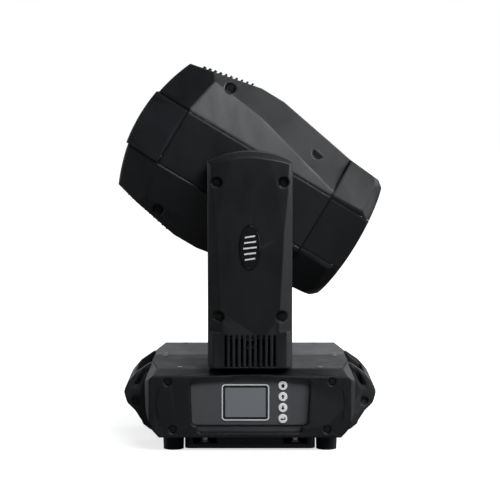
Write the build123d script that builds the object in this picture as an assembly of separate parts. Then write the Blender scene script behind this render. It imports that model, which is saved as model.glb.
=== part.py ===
from build123d import *

import os
from math import asin, atan, cos, degrees, hypot, pi, sin

# Moving head beam light: a base with a display, a yoke that pans on it, and a head that tilts in the yoke.
# Row frame, in millimetres: +Z up, origin on the pan axis at the level of the feet. The display faces -Y.
# At rest the yoke's arms stand at -Y and +Y, and the head's lens points towards +X, TILT_REST degrees below the
# horizon. The head is drawn in its own frame, with X along the light's axis towards the lens, Y along the tilt
# axis and Z up, and head_place() carries it to its rest pose.

os.makedirs("parts", exist_ok=True)

# ---------------------------------------------------------------- driving dimensions
# Base
FOOT_RADIUS = 13.6
FOOT_TOP_RADIUS = 14.2
FOOT_X = 102.5
FOOT_Y = 119.0
BASE_TOP = 109.0            # upper face of the top plates
BASE_HALF_DEPTH = 150.0     # front face of the front cover
PLATE_HALF_DEPTH = 124.0    # front edge of the top plates
PLATE_END_HALF = 124.0      # half width of the top plates at the front and rear edges
PLATE_MID_HALF = 133.0      # and along the sides
PLATE_SIDE_Y = 56.0         # where the side edge starts to taper
PLATE_THICK = 2.0
COVER_WALL = 3.0
COVER_END_Y = 96.0          # where the end covers meet the side covers
BASE_SHOULDER = 136.5       # half widths of the covers, from top to bottom
BASE_WAIST = 140.0
BASE_BELLY = 138.5
BASE_HIP = 131.0
BASE_FLOOR = 121.0
BASE_SHOULDER_Z = 94.0      # and the heights that they are at
BASE_CORNER_Z = 96.0
BASE_WAIST_Z = 76.0
BASE_BELLY_Z = 52.0
BASE_HIP_Z = 31.0
BASE_ROUND = 14.0
KEEL_HALF_X = 87.0          # sunken middle of the tray
KEEL_HALF_Y = 137.0
KEEL_BOTTOM = 3.0
KEEL_LIP = 9.5              # top of the keel's end wall below a receptacle
TRAY_THICK = 2.0
CAMLOCK_X = 60.5
CAMLOCK_Y = 120.0
CAMLOCK_HOLE_R = 4.25
# Display
FASCIA_DEPTH = 8.0          # how far the fascia sits behind the front face
FASCIA_THICK = 3.0
SCREEN_CENTRE_X = -6.0
SCREEN_CENTRE_Z = 66.0
SCREEN_W = 57.6
SCREEN_H = 43.2
BUTTON_X = 43.7
BUTTON_TOP_Z = 88.5
BUTTON_PITCH = 14.8
BUTTON_R = 5.9
BUTTON_PROUD = 2.0
BUTTON_TRAVEL = 1.2
# Handles
HANDLE_OUT = 173.5          # half width over the handles
HANDLE_HALF_Y = 62.0
GRIP_HALF_Y = 50.0
GRIP_BAR = 14.0             # width of the bar that the hand closes round
# Yoke
ARM_HALF_X = 55.9
ARM_OUTER_Y = 154.0
ARM_INNER_Y = 102.0
ARM_SPLIT_Y = 121.0
ARM_BOTTOM = 113.4
ARM_SHOULDER = 386.0        # where the straight sides end
ARM_CROWN = 399.5
ARM_WALL = 2.5
ARM_BEVEL = 8.0
BRIDGE_TOP = 166.0
TILT_Z = 355.0
ARM_SCREW_HIGH = (43.8, 359.0, 7.4)
ARM_SCREW_LOW = (41.5, 182.0, 7.8)
VENT_COUNT = 10
VENT_PITCH = 7.15
VENT_WIDTH = 3.3
VENT_LOW = 115.0
VENT_HIGH = 157.0
# Pan drive
POST_R = 22.0
POST_BORE_R = 14.0
PAN_PULLEY_R = 40.0
PAN_PINION_R = 9.0
PAN_MOTOR_Y = -130.0
PAN_BELT_Z = 144.0
# Tilt drive
SHAFT_R = 15.0
SHAFT_BORE_R = 11.0
TILT_PULLEY_R = 36.0
TILT_PINION_R = 9.0
TILT_MOTOR_Z = 262.0
TILT_BELT_Y = 116.0
BELT_WIDTH = 8.0
BELT_THICK = 1.6
RUNNING = 0.05              # radial clearance of a shaft in its bearing
# Head
TILT_REST = 31.0
SEAM = 40.5                 # height of the seams between the covers and the side panels
SEAM_GAP = 0.6
HEAD_WALL = 3.0
NECK = 104.0                # where the covers meet the front bezel
NOSE_END = 166.5
NOSE_BOW_R = 602.0          # radius of the bowed front rim, seen from the side
REAR_R = 238.5              # radius of the bowed rear
REAR_CENTRE = 66.5
REAR_PROUD = 3.0            # the rear grille stands this far behind the covers
LENS_R = 72.0

PLATE_SCREWS = ((118.0, 9.0), (118.0, -9.0), (94.0, 117.0), (94.0, -117.0))
COVER_SCREWS = ((109.0, 95.0), (102.5, 31.0))
COVER_SCREW_DEEP = 3.5
COVER_BOTTOM = 20.0         # lower edge of the covers and top of the feet
FRONT_DROP = 7.0            # fall of the end covers from the top plates to the front face
END_CORNER = 6.0            # size of the upright bevels at the corners of the end covers
# Ends of the fine groove above the display, on the right
EYEBROW = ((103.0, -149.5, 102.1), (49.0, -136.7, 105.6))
GROOVE_WIDTH = 1.1
GROOVE_DEPTH = 0.8
BRACKET_GROOVE_X = 125.5    # furthest point of the curved upright groove
BRACKET_GROOVE_Z = 64.0
BRACKET_GROOVE_HALF_Z = 21.0
BRACKET_GROOVE_BOW = 3.5
TRAY_HALF_X = 116.0
TRAY_HALF_Y = 140.0
FOOT_STEM_R = 4.0
CAMLOCK_R = 10.5
CAMLOCK_FACE = 9.0
POCKET_HALF = 16.0
POCKET_ROOF = 18.0
FASCIA_TOP = 96.0
FASCIA_ARCH = 5.0
FASCIA_TOP_LEFT = -79.0
FASCIA_TOP_RIGHT = 80.0
FASCIA_BOTTOM = 36.0
FASCIA_LOW_LEFT = -77.0
FASCIA_LOW_RIGHT = 77.0
LEDGE_HEIGHT = 9.0          # dark slot under the fascia
SCREEN_BORDER = 3.3
BUTTON_NAMES = ("button_home", "button_up", "button_down", "button_enter")
LED_X = (14.0, 21.4)
LED_Z = 96.8
LED_R = 1.5
BOSS_R = 3.0
BOARD_BEHIND = 12.0         # from the front of the fascia to the circuit board
CONNECTOR_HALF = 90.0
CONNECTOR_LOW = 42.0
CONNECTOR_HIGH = 84.0
INLET_X = 70.0
INLET_W = 27.5
INLET_H = 34.0
SOCKET_X = (-72.0, -42.0, -12.0, 18.0)
SOCKET_R = 11.5
BRACKET_TOP = 100.0
BRACKET_HALF_Y = 92.0
ANCHOR_EYE_R = 5.0
HANDLE_RECESS_Z = 54.5
GRIP_BAR_LOW = 56.0
# Outline (x, z) of a handle web on the right, from the shoulder of the base down to the tray
HANDLE_OUTLINE = (
    (120.0, 106.0), (138.0, 106.0), (156.0, 93.5), (HANDLE_OUT - 6.0, 80.0), (HANDLE_OUT, 68.0),
    (HANDLE_OUT - 4.5, 52.0), (158.0, 41.0), (149.0, 27.0), (147.0, 22.0), (138.0, 15.0), (129.0, 11.0),
    (118.5, 11.0), (118.5, 20.0),
)
HANDLE_ROUND = 12.0
HANDLE_SLOT = ((HANDLE_OUT - 17.5, 77.5), (145.0, 94.5))    # ends (x, z) of the slot through each web
HANDLE_SLOT_R = 3.2
HANDLE_RECESS_R = 5.5
ARM_FACET = 18.0            # width of the edge facets at their lower end
ARM_FACET_DEPTH = 14.0
# Shallow facets beside the crown: two points (x, z) of their inner edge, and their depth at the arm's edge
ARM_TEMPLE = ((23.0, 394.0), (52.0, 250.0))
ARM_TEMPLE_DEPTH = 3.5
ARM_TEMPLE_Z = 380.0
ARM_WAIST = 162.0           # the facets end here, above a square lower section
SCREW_POCKET = 9.0
SCREW_HOLE_R = 2.0
BADGE_Z = 273.5
BADGE_HALF_X = 13.7
BADGE_HALF_Z = 29.4
BADGE_THICK = 2.4
BRIDGE_HALF_X = 50.0
FRAME_BOTTOM = 114.5
FRAME_THICK = 3.0
FRAME_HALF_X = 46.0
UPRIGHT_Y = 108.0
PAN_BEARING_R = 30.0
TILT_BEARING_R = 22.0
MOTOR_HALF = 21.0
MOTOR_LENGTH = 25.0
MOTOR_SHAFT = 15.0
MOTOR_FACE_Y = 125.0
SHELF_Z = 152.0
BELT_CLEAR = 0.3
REAR_FLAT = -172.0
HEAD_TOP = 116.8
HEAD_HALF_W = 93.0
NECK_HALF_W = 86.0
NECK_TOP = 96.0
LIP = 150.0
LIP_TOP = 92.2
LIP_CORNER_W = 82.0
RIM_TOP = 80.5
RIM_HALF_W = 80.0
NOSE_SEAM = 38.5
REAR_SPLIT = -121.0         # the side panels end here and the rear grille begins
REAR_GAP = 0.5
# Corners of the head's facets in the upper +Y quarter
SLOPE_FOOT = (-152.0, 0.0, 95.6)            # the louvred slope rises from here
RIDGE = (-53.0, 0.0, 116.5)                 # to here
FALL = (-17.0, 0.0, 117.0)                  # and the top falls from here to the neck
CHEEK_SEAM = (-120.3, 92.0, 44.0)           # rear edge of the side facets, at the seam
CHEEK_TOP = (-110.0, 77.0, 92.0)            # and at its upper end
REAR_SIDE = (-165.0, 67.3, 44.0)
SIDE_START = -110.0                         # the sides taper to the neck from here
REAR_CORNER = (-170.0, 66.0, 0.0)
BROW = (-31.0, 77.5, 82.0)
BROW_RIDGE = (-53.0, 45.0, 116.5)
SHOULDER = (-20.0, 42.0, 117.0)
NECK_CORNER = (NECK, 84.0, 47.0)
NECK_TOP_CORNER = (NECK, 51.0, NECK_TOP)
LIP_CORNER = (LIP, LIP_CORNER_W, 45.0)
LIP_TOP_CORNER = (LIP, 50.0, LIP_TOP)
RIM_CORNER = (NOSE_END, 73.0, 42.0)
NOSE_ROUND = ((LIP + 2.0, 99.0), (LIP + 11.5, 88.0), (NOSE_END, 79.0))     # (x, radius) of the rim's curve
TONGUE = 2.0                # lap behind the seams of the front bezel
TONGUE_THICK = 1.4
HEAD_SCREW_REAR = (-88.0, 62.0, 95.0)      # x, floor of the pocket, z
HEAD_SCREW_FRONT = (59.0, 58.0, 80.0)
HEAD_POCKET_R = 7.5
LOUVRE_COUNT = 10
LOUVRE_PITCH = 7.6
LOUVRE_START = -134.0
GRILLE_SLOTS = 14
GRILLE_PITCH = 7.5
CHASSIS_HALF_Y = 72.0
CHASSIS_FRONT = 101.0
LAMP_X = -22.0
LAMP_BORE_R = 34.0
REFLECTOR_R = 38.0
LENS_FACE_X = 150.0
LENS_BACK_X = 134.0
LENS_DOME_R = 190.0
WHEEL_PLATE_X = 20.0
WHEEL_OFFSET = 32.0
WHEEL_R = 44.0
WHEEL_HOLES = 12
WHEEL_HOLE_R = 7.0
AXLE_R = 3.0
COLOR_X = 26.0
GOBO_X = 33.0
PRISM_X = 44.0
PRISM_R = 16.0
RAIL_Z = 52.0
RAIL_R = 3.0
FOCUS_X = 70.0
FOCUS_R = 34.0
FAN_X = -112.0

PARTS = {}


def keep(name, *solids):
    """Files the solids under a node's name."""
    PARTS[name] = [s for shape in solids for s in shape.solids()]


def block(x0, x1, y0, y1, z0, z1):
    """A box from its limits."""
    return Pos((x0 + x1) / 2, (y0 + y1) / 2, (z0 + z1) / 2) * Box(abs(x1 - x0), abs(y1 - y0), abs(z1 - z0))


def rod(x, y, z0, z1, r):
    """A cylinder along Z."""
    return Pos(x, y, (z0 + z1) / 2) * Cylinder(r, abs(z1 - z0))


def rod_y(x, z, y0, y1, r):
    """A cylinder along Y."""
    return Pos(x, (y0 + y1) / 2, z) * Rot(90, 0, 0) * Cylinder(r, abs(y1 - y0))


def rod_x(y, z, x0, x1, r):
    """A cylinder along X."""
    return Pos((x0 + x1) / 2, y, z) * Rot(0, 90, 0) * Cylinder(r, abs(x1 - x0))


def flat_y(points, y0, y1):
    """A prism along Y with the outline points (x, z)."""
    face = make_face(Polyline(*[(x, y0, z) for x, z in points], close=True))
    return extrude(face, amount=y1 - y0, dir=(0, 1, 0))


def flat_z(points, z0, z1):
    """A prism along Z with the outline points (x, y)."""
    face = make_face(Polyline(*[(x, y, z0) for x, y in points], close=True))
    return extrude(face, amount=z1 - z0, dir=(0, 0, 1))


def behind(shape, a, b, c, inside):
    """Cuts shape by the plane through a, b and c, and keeps the side that inside is on."""
    a, b, c = Vector(*a), Vector(*b), Vector(*c)
    normal = (b - a).cross(c - a).normalized()
    if (Vector(*inside) - a).dot(normal) > 0:
        normal = -normal
    return split(shape, Plane(origin=a, z_dir=normal), keep=Keep.BOTTOM)

# ---------------------------------------------------------------- base
def base_profile(inset=0.0):
    """Outline (x, z) of the base covers, seen from the front."""
    half = [
        (BASE_FLOOR - inset, COVER_BOTTOM + inset),
        (BASE_HIP - inset, BASE_HIP_Z),
        (BASE_BELLY - inset, BASE_BELLY_Z),
        (BASE_WAIST - inset, BASE_WAIST_Z),
        (BASE_WAIST - inset, BASE_TOP - inset),
    ]
    return half + [(-x, z) for x, z in reversed(half)]


def base_hull(inset=0.0):
    """The closed outer form of the base covers; inset shrinks it by a wall on every side."""
    depth = BASE_HALF_DEPTH - inset
    hull = flat_y(base_profile(inset), -depth, depth)
    low = COVER_BOTTOM + inset + 1
    waist = [e for e in hull.edges().filter_by(Axis.Y) if low < e.center().Z < BASE_WAIST_Z + 1]
    hull = fillet(waist, BASE_ROUND - inset)
    for front in (-1, 1):
        hull = base_plane(hull, inset, (0, BASE_HALF_DEPTH, BASE_TOP - FRONT_DROP),
                          (0, PLATE_HALF_DEPTH, BASE_TOP), (10, PLATE_HALF_DEPTH, BASE_TOP), 1, front)
        for end in (-1, 1):
            hull = base_plane(hull, inset, (PLATE_MID_HALF, 0, BASE_TOP), (PLATE_MID_HALF, 10, BASE_TOP),
                              (BASE_WAIST, 0, BASE_SHOULDER_Z), end, front)
            hull = base_plane(hull, inset, (PLATE_END_HALF, PLATE_HALF_DEPTH, BASE_TOP),
                              (PLATE_MID_HALF, PLATE_SIDE_Y, BASE_TOP),
                              (BASE_SHOULDER, BASE_HALF_DEPTH, BASE_CORNER_Z), end, front)
            hull = base_plane(hull, inset, (BASE_WAIST - END_CORNER, BASE_HALF_DEPTH, 0),
                              (BASE_WAIST - END_CORNER, BASE_HALF_DEPTH, 10),
                              (BASE_WAIST, BASE_HALF_DEPTH - 2 * END_CORNER, 0), end, front)
    return hull


def base_plane(hull, inset, a, b, c, end, front):
    """Cuts hull by a plane given for the +X +Y quarter, moved inwards by inset and mirrored as asked."""
    points = [Vector(end * x, front * y, z) for x, y, z in (a, b, c)]
    normal = (points[1] - points[0]).cross(points[2] - points[0]).normalized()
    if normal.dot(points[0] - Vector(0, 0, BASE_TOP / 2)) < 0:
        normal = -normal
    return split(hull, Plane(origin=points[0] - normal * inset, z_dir=normal), keep=Keep.BOTTOM)


def plate_outline(shrink=0.0):
    """Outline (x, y) of the two top plates together."""
    edge = PLATE_HALF_DEPTH - shrink
    half = [
        (PLATE_END_HALF - shrink, -edge),
        (PLATE_MID_HALF - shrink, -PLATE_SIDE_Y),
        (PLATE_MID_HALF - shrink, PLATE_SIDE_Y),
        (PLATE_END_HALF - shrink, edge),
    ]
    return half + [(-x, y) for x, y in reversed(half)]


def screw_shanks(radius):
    """Clearance holes for the screws of the top plates."""
    places = [(side * x, y) for x, y in PLATE_SCREWS for side in (-1, 1)]
    return [rod(x, y, BASE_TOP - 12, BASE_TOP + 5, radius) for x, y in places]


def top_plates():
    """The front and rear top plates, with a hole for the pan post."""
    plate = flat_z(plate_outline(), BASE_TOP - PLATE_THICK, BASE_TOP)
    plate -= rod(0, 0, 0, 200, POST_R + 8)
    plate -= screw_shanks(2.3)
    front = plate & block(-200, 200, -200, -SEAM_GAP / 2, 0, 200)
    rear = plate & block(-200, 200, SEAM_GAP / 2, 200, 0, 200)
    keep("base_top_plates", front, rear)


def cover_shell():
    """The moulded base covers before they are split: open above for the plates and below for the tray."""
    shell = base_hull() - base_hull(COVER_WALL)
    shell -= flat_z(plate_outline(-SEAM_GAP), BASE_TOP - PLATE_THICK - 0.2, BASE_TOP + 5)
    shell -= flat_z(plate_outline(8.0), BASE_TOP - 20, BASE_TOP + 5)
    shell -= block(-TRAY_HALF_X, TRAY_HALF_X, -TRAY_HALF_Y, TRAY_HALF_Y, 0, COVER_BOTTOM + 20)
    for x, z in COVER_SCREWS:
        for side in (-1, 1):
            for face in (-BASE_HALF_DEPTH, BASE_HALF_DEPTH):
                way = 1 if face < 0 else -1
                seat = face + way * COVER_SCREW_DEEP
                shell += rod_y(side * x, z, face + way * 1.5, seat + way * COVER_WALL, 7.5) & base_hull()
                shell -= rod_y(side * x, z, face - way * 5, seat, 5.2)
                shell -= rod_y(side * x, z, seat, seat + way * 10, 2.0)
    return shell - screw_shanks(2.3)


def fascia_form(grow, y0, y1, corner):
    """The display fascia's form between two planes: wider above, with a shallow arch and round corners."""
    low = FASCIA_BOTTOM - grow
    outline = [(FASCIA_LOW_LEFT - grow, low), (FASCIA_LOW_RIGHT + grow, low)]
    middle = (FASCIA_TOP_LEFT + FASCIA_TOP_RIGHT) / 2
    half = (FASCIA_TOP_RIGHT - FASCIA_TOP_LEFT) / 2
    for step in range(4, -5, -1):
        share = step / 4
        reach = half + grow if abs(step) == 4 else half
        outline.append((middle + share * reach, FASCIA_TOP + grow + FASCIA_ARCH * (1 - share**2)))
    form = flat_y(outline, y0, y1)
    corners = [e for e in form.edges().filter_by(Axis.Y) if abs(e.center().X - middle) > half * 0.8]
    return fillet(corners, corner)


def rounded(shape, direction, radius):
    """Rounds the edges of a prism that run along direction."""
    return fillet(shape.edges().filter_by(direction), radius)


def fascia_recess(grow, y0, y1):
    """The recess that the fascia sits in, with the narrower slot under it."""
    recess = fascia_form(grow, y0, y1, 6)
    slot = block(FASCIA_LOW_LEFT + 8 - grow, FASCIA_LOW_RIGHT - 8 + grow, y0, y1,
                 FASCIA_BOTTOM - LEDGE_HEIGHT - grow, FASCIA_BOTTOM + 5)
    return recess + rounded(slot, Axis.Y, 4)


def end_covers():
    """Front cover with the display opening, rear cover with the connector opening, and the two side covers."""
    shell = cover_shell()
    front = shell & block(-200, 200, -200, -COVER_END_Y - SEAM_GAP / 2, 0, 200)
    collar_end = -BASE_HALF_DEPTH + FASCIA_DEPTH + FASCIA_THICK
    front += fascia_recess(SEAM_GAP + 2.5, -BASE_HALF_DEPTH + 1, collar_end)
    front -= fascia_recess(SEAM_GAP, -BASE_HALF_DEPTH - 5, -BASE_HALF_DEPTH + 20)
    for side in (-1, 1):
        front -= eyebrow(side)
        front -= bracket_groove(side)
    keep("base_front_cover", front)
    rear = shell & block(-200, 200, COVER_END_Y + SEAM_GAP / 2, 200, 0, 200)
    rear -= block(-CONNECTOR_HALF, CONNECTOR_HALF, BASE_HALF_DEPTH - 20, BASE_HALF_DEPTH + 5,
                  CONNECTOR_LOW, CONNECTOR_HIGH)
    keep("base_rear_cover", rear)
    middle = shell & block(-200, 200, -COVER_END_Y + SEAM_GAP / 2, COVER_END_Y - SEAM_GAP / 2, 0, 200)
    left = middle & block(-200, -60, -200, 200, 0, 200)
    right = middle & block(60, 200, -200, 200, 0, 200)
    keep("base_side_covers", left, right)


def eyebrow(side):
    """A fine groove that rises from a cover screw across the slope above the display."""
    start, end = [Vector(side * x, y, z) for x, y, z in EYEBROW]
    along = end - start
    rise = Vector(0, -FRONT_DROP, BASE_HALF_DEPTH - PLATE_HALF_DEPTH).normalized()
    plane = Plane(origin=(start + end) / 2, x_dir=along, z_dir=rise)
    return plane * Box(along.length, GROOVE_WIDTH, 2 * GROOVE_DEPTH)


def bracket_groove(side):
    """A fine upright groove, curved like a bracket, between the display and the corner of the front cover."""
    half = BRACKET_GROOVE_HALF_Z
    radius = (half**2 + BRACKET_GROOVE_BOW**2) / (2 * BRACKET_GROOVE_BOW)
    centre = BRACKET_GROOVE_X - radius
    y0 = -BASE_HALF_DEPTH - 1
    y1 = -BASE_HALF_DEPTH + GROOVE_DEPTH
    ring = rod_y(side * centre, BRACKET_GROOVE_Z, y0, y1, radius)
    ring -= rod_y(side * centre, BRACKET_GROOVE_Z, y0 - 1, y1 + 1, radius - GROOVE_WIDTH)
    return ring & block(side * 110, side * 135, y0, y1, BRACKET_GROOVE_Z - half, BRACKET_GROOVE_Z + half)


def tray():
    """The pressed steel tray that everything in the base stands on, with a sunken middle."""
    rim = block(-TRAY_HALF_X + 0.3, TRAY_HALF_X - 0.3, -TRAY_HALF_Y + 0.3, TRAY_HALF_Y - 0.3,
                COVER_BOTTOM, COVER_BOTTOM + TRAY_THICK)
    rim = rounded(rim, Axis.Z, 10)
    floor = COVER_BOTTOM + TRAY_THICK
    outer = rounded(block(-KEEL_HALF_X, KEEL_HALF_X, -KEEL_HALF_Y, KEEL_HALF_Y, KEEL_BOTTOM, floor), Axis.Z, 8)
    hollow = block(-KEEL_HALF_X + TRAY_THICK, KEEL_HALF_X - TRAY_THICK, -KEEL_HALF_Y + TRAY_THICK,
                   KEEL_HALF_Y - TRAY_THICK, KEEL_BOTTOM + TRAY_THICK, COVER_BOTTOM + 20)
    body = rim + outer - hollow
    for x in (-CAMLOCK_X, CAMLOCK_X):
        for side in (-1, 1):
            back = side * (CAMLOCK_Y - POCKET_HALF)
            end = side * KEEL_HALF_Y
            half = POCKET_HALF + TRAY_THICK
            body += block(x - half, x + half, back - side * TRAY_THICK, end, KEEL_BOTTOM, POCKET_ROOF + TRAY_THICK)
            body -= block(x - POCKET_HALF, x + POCKET_HALF, back, end - side * TRAY_THICK, 0, POCKET_ROOF)
            body -= block(x - POCKET_HALF, x + POCKET_HALF, back, end + side, KEEL_LIP, POCKET_ROOF)
    for x, y in foot_places():
        body -= rod(x, y, 0, 30, FOOT_STEM_R)
    keep("base_chassis", body)


def foot_places():
    """Centres of the four feet."""
    return [(x, y) for x in (-FOOT_X, FOOT_X) for y in (-FOOT_Y, FOOT_Y)]


def feet():
    """Rubber feet with a stem pressed into the tray."""
    solids = []
    for x, y in foot_places():
        foot = Pos(x, y, COVER_BOTTOM / 2) * Cone(FOOT_RADIUS, FOOT_TOP_RADIUS, COVER_BOTTOM)
        stem = rod(x, y, COVER_BOTTOM, COVER_BOTTOM + TRAY_THICK + 3, FOOT_STEM_R)
        solids.append(foot + stem)
    keep("rubber_feet", *solids)


def receptacles():
    """Quarter-turn receptacles that take the clamp brackets when the light hangs from a truss."""
    solids = []
    for x in (-CAMLOCK_X, CAMLOCK_X):
        for y in (-CAMLOCK_Y, CAMLOCK_Y):
            body = rod(x, y, CAMLOCK_FACE, CAMLOCK_FACE + 2.5, CAMLOCK_R)
            body += rod(x, y, CAMLOCK_FACE, POCKET_ROOF, 7)
            body -= rod(x, y, 0, POCKET_ROOF - 1.5, CAMLOCK_HOLE_R)
            solids.append(body)
    keep("quarter_turn_receptacles", *solids)


def handles():
    """Grab handles: two triangular webs and a bar to close the hand round."""
    hull = base_hull()
    for name, side in (("handle_left", -1), ("handle_right", 1)):
        outline = [(side * x, z) for x, z in HANDLE_OUTLINE]
        web = flat_y(outline, -HANDLE_HALF_Y, HANDLE_HALF_Y)
        web = fillet([e for e in web.edges().filter_by(Axis.Y) if abs(e.center().X) > 155], HANDLE_ROUND)
        gap = block(side * 60, side * (HANDLE_OUT - GRIP_BAR), -GRIP_HALF_Y, GRIP_HALF_Y, 0, 200)
        low = block(side * 60, side * 200, -GRIP_HALF_Y, GRIP_HALF_Y, 0, GRIP_BAR_LOW)
        gap = rounded(gap, Axis.Z, 6)
        grip = web - hull - gap - low
        recess_x = side * (HANDLE_OUT - 16)
        for y in (-HANDLE_HALF_Y, HANDLE_HALF_Y):
            grip -= rod_y(recess_x, HANDLE_RECESS_Z, y - 4, y + 4, HANDLE_RECESS_R)
        grip -= handle_slot(side)
        keep(name, grip)


def handle_slot(side):
    """The slanting slot through the front web of a handle; the rear web is whole."""
    (x0, z0), (x1, z1) = HANDLE_SLOT
    length = hypot(x1 - x0, z1 - z0)
    lean = degrees(atan((x1 - x0) / (z1 - z0)))
    bar = Box(2 * HANDLE_SLOT_R, 2 * HANDLE_HALF_Y, length)
    slot = Pos(side * (x0 + x1) / 2, -HANDLE_HALF_Y, (z0 + z1) / 2) * Rot(0, side * lean, 0) * bar
    for x, z in HANDLE_SLOT:
        slot += rod_y(side * x, z, -2 * HANDLE_HALF_Y, 0, HANDLE_SLOT_R)
    return slot


def display():
    """Fascia, screen, circuit board with its two status lights, and the four buttons."""
    face_y = -BASE_HALF_DEPTH + FASCIA_DEPTH
    panel = fascia_form(0.0, face_y, face_y + FASCIA_THICK, 5)
    backing = block(FASCIA_LOW_LEFT, FASCIA_LOW_RIGHT, face_y + FASCIA_THICK, face_y + FASCIA_THICK + 4,
                    FASCIA_BOTTOM - LEDGE_HEIGHT - 3, FASCIA_BOTTOM + 2)
    panel += backing
    left = SCREEN_CENTRE_X - SCREEN_W / 2 - SCREEN_BORDER
    right = SCREEN_CENTRE_X + SCREEN_W / 2 + SCREEN_BORDER
    low = SCREEN_CENTRE_Z - SCREEN_H / 2 - SCREEN_BORDER
    high = SCREEN_CENTRE_Z + SCREEN_H / 2 + SCREEN_BORDER
    window = rounded(block(left, right, face_y - 5, face_y + 10, low, high), Axis.Y, 5)
    screen = block(left + 0.2, right - 0.2, face_y - 0.8, face_y + FASCIA_THICK, low + 0.2, high - 0.2)
    screen = rounded(screen, Axis.Y, 4.8)
    panel -= window
    for number in range(len(BUTTON_NAMES)):
        z = BUTTON_TOP_Z - number * BUTTON_PITCH
        panel -= rod_y(BUTTON_X, z, face_y - 5, face_y + 10, BUTTON_R + 0.3)
    for x in LED_X:
        panel -= rod_y(x, LED_Z, face_y - 5, face_y + 10, LED_R + 0.1)
    keep("display_panel", panel)
    keep("display_screen", screen)
    board_y = face_y + BOARD_BEHIND
    board = block(left - 8, BUTTON_X + 12, board_y, board_y + 1.6, FASCIA_BOTTOM + 3, LED_Z + 2)
    for x in (left - BOSS_R - 1, BUTTON_X - BUTTON_R - BOSS_R - 1):
        for z in (FASCIA_BOTTOM + 6, FASCIA_TOP - 8):
            board += rod_y(x, z, face_y + FASCIA_THICK, board_y, BOSS_R)
    leds = [rod_y(x, LED_Z, face_y - 0.6, board_y, LED_R) for x in LED_X]
    keep("display_board", board + leds)
    for number, name in enumerate(BUTTON_NAMES):
        z = BUTTON_TOP_Z - number * BUTTON_PITCH
        cap = rod_y(BUTTON_X, z, face_y - BUTTON_PROUD, face_y + FASCIA_THICK + 0.5, BUTTON_R)
        cap = chamfer(cap.edges().group_by(Axis.Y)[0], 0.7)
        stem = rod_y(BUTTON_X, z, face_y + FASCIA_THICK + 0.5, board_y - BUTTON_TRAVEL - 0.3, 2.5)
        keep(name, cap + stem)


def connectors():
    """Rear connector plate with the mains inlet, the fuse drawer and the data sockets."""
    y = BASE_HALF_DEPTH - COVER_WALL - PLATE_THICK
    edge = CONNECTOR_HALF + 4
    plate = block(-edge, edge, y, y + PLATE_THICK, CONNECTOR_LOW - 4, CONNECTOR_HIGH + 4)
    mid_z = (CONNECTOR_LOW + CONNECTOR_HIGH) / 2
    left = INLET_X - INLET_W / 2
    right = INLET_X + INLET_W / 2
    low = mid_z - INLET_H / 2
    high = mid_z + INLET_H / 2
    plate -= block(left, right, y - 5, y + 10, low, high)
    for x in SOCKET_X:
        plate -= rod_y(x, mid_z, y - 5, y + 10, SOCKET_R)
    keep("connector_panel", plate)
    inlet = block(left, right, y - 22, y + PLATE_THICK + 1, low, high)
    inlet += block(left - 3, right + 3, y + PLATE_THICK, y + PLATE_THICK + 2, low - 3, high + 3)
    inlet -= rounded(block(INLET_X - 12, INLET_X + 12, y - 15, y + 20, low + 3, low + 20), Axis.Y, 2)
    for pin in (-7, 0, 7):
        rise = 4 if pin == 0 else 0
        inlet += block(INLET_X + pin - 1, INLET_X + pin + 1, y - 15.5, y - 2, low + 7 + rise, low + 11 + rise)
    keep("power_inlet", inlet)
    sockets = []
    for x in SOCKET_X:
        socket = rod_y(x, mid_z, y - 16, y + PLATE_THICK + 1, SOCKET_R)
        flange = block(x - 13, x + 13, y + PLATE_THICK, y + PLATE_THICK + 2, mid_z - 15, mid_z + 15)
        socket += rounded(flange, Axis.Y, 3)
        socket -= rod_y(x, mid_z, y - 8, y + 20, SOCKET_R - 2.5)
        sockets.append(socket)
    keep("data_sockets", *sockets)


def vented_box(x0, x1, y0, y1, z0, z1):
    """A sheet metal box with a board inside and rows of slots in its lid."""
    wall = 1.5
    box = rounded(block(x0, x1, y0, y1, z0, z1), Axis.Z, 2)
    box -= block(x0 + wall, x1 - wall, y0 + wall, y1 - wall, z0 + wall, z1 - wall)
    for number in range(int((y1 - y0 - 20) / 10)):
        y = y0 + 12 + number * 10
        box -= block(x0 + 12, x1 - 12, y, y + 4, z1 - 5, z1 + 5)
    board = block(x0 + 5, x1 - 5, y0 + 5, y1 - 5, z0 + 6, z0 + 8)
    board += block(x0 + 15, x1 - 15, y0 + 20, y1 - 20, z0 + 8, z0 + 26)
    for x in (x0 + 8, x1 - 8):
        for y in (y0 + 8, y1 - 8):
            board += rod(x, y, z0 + wall, z0 + 6, BOSS_R)
    return box + board


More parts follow.
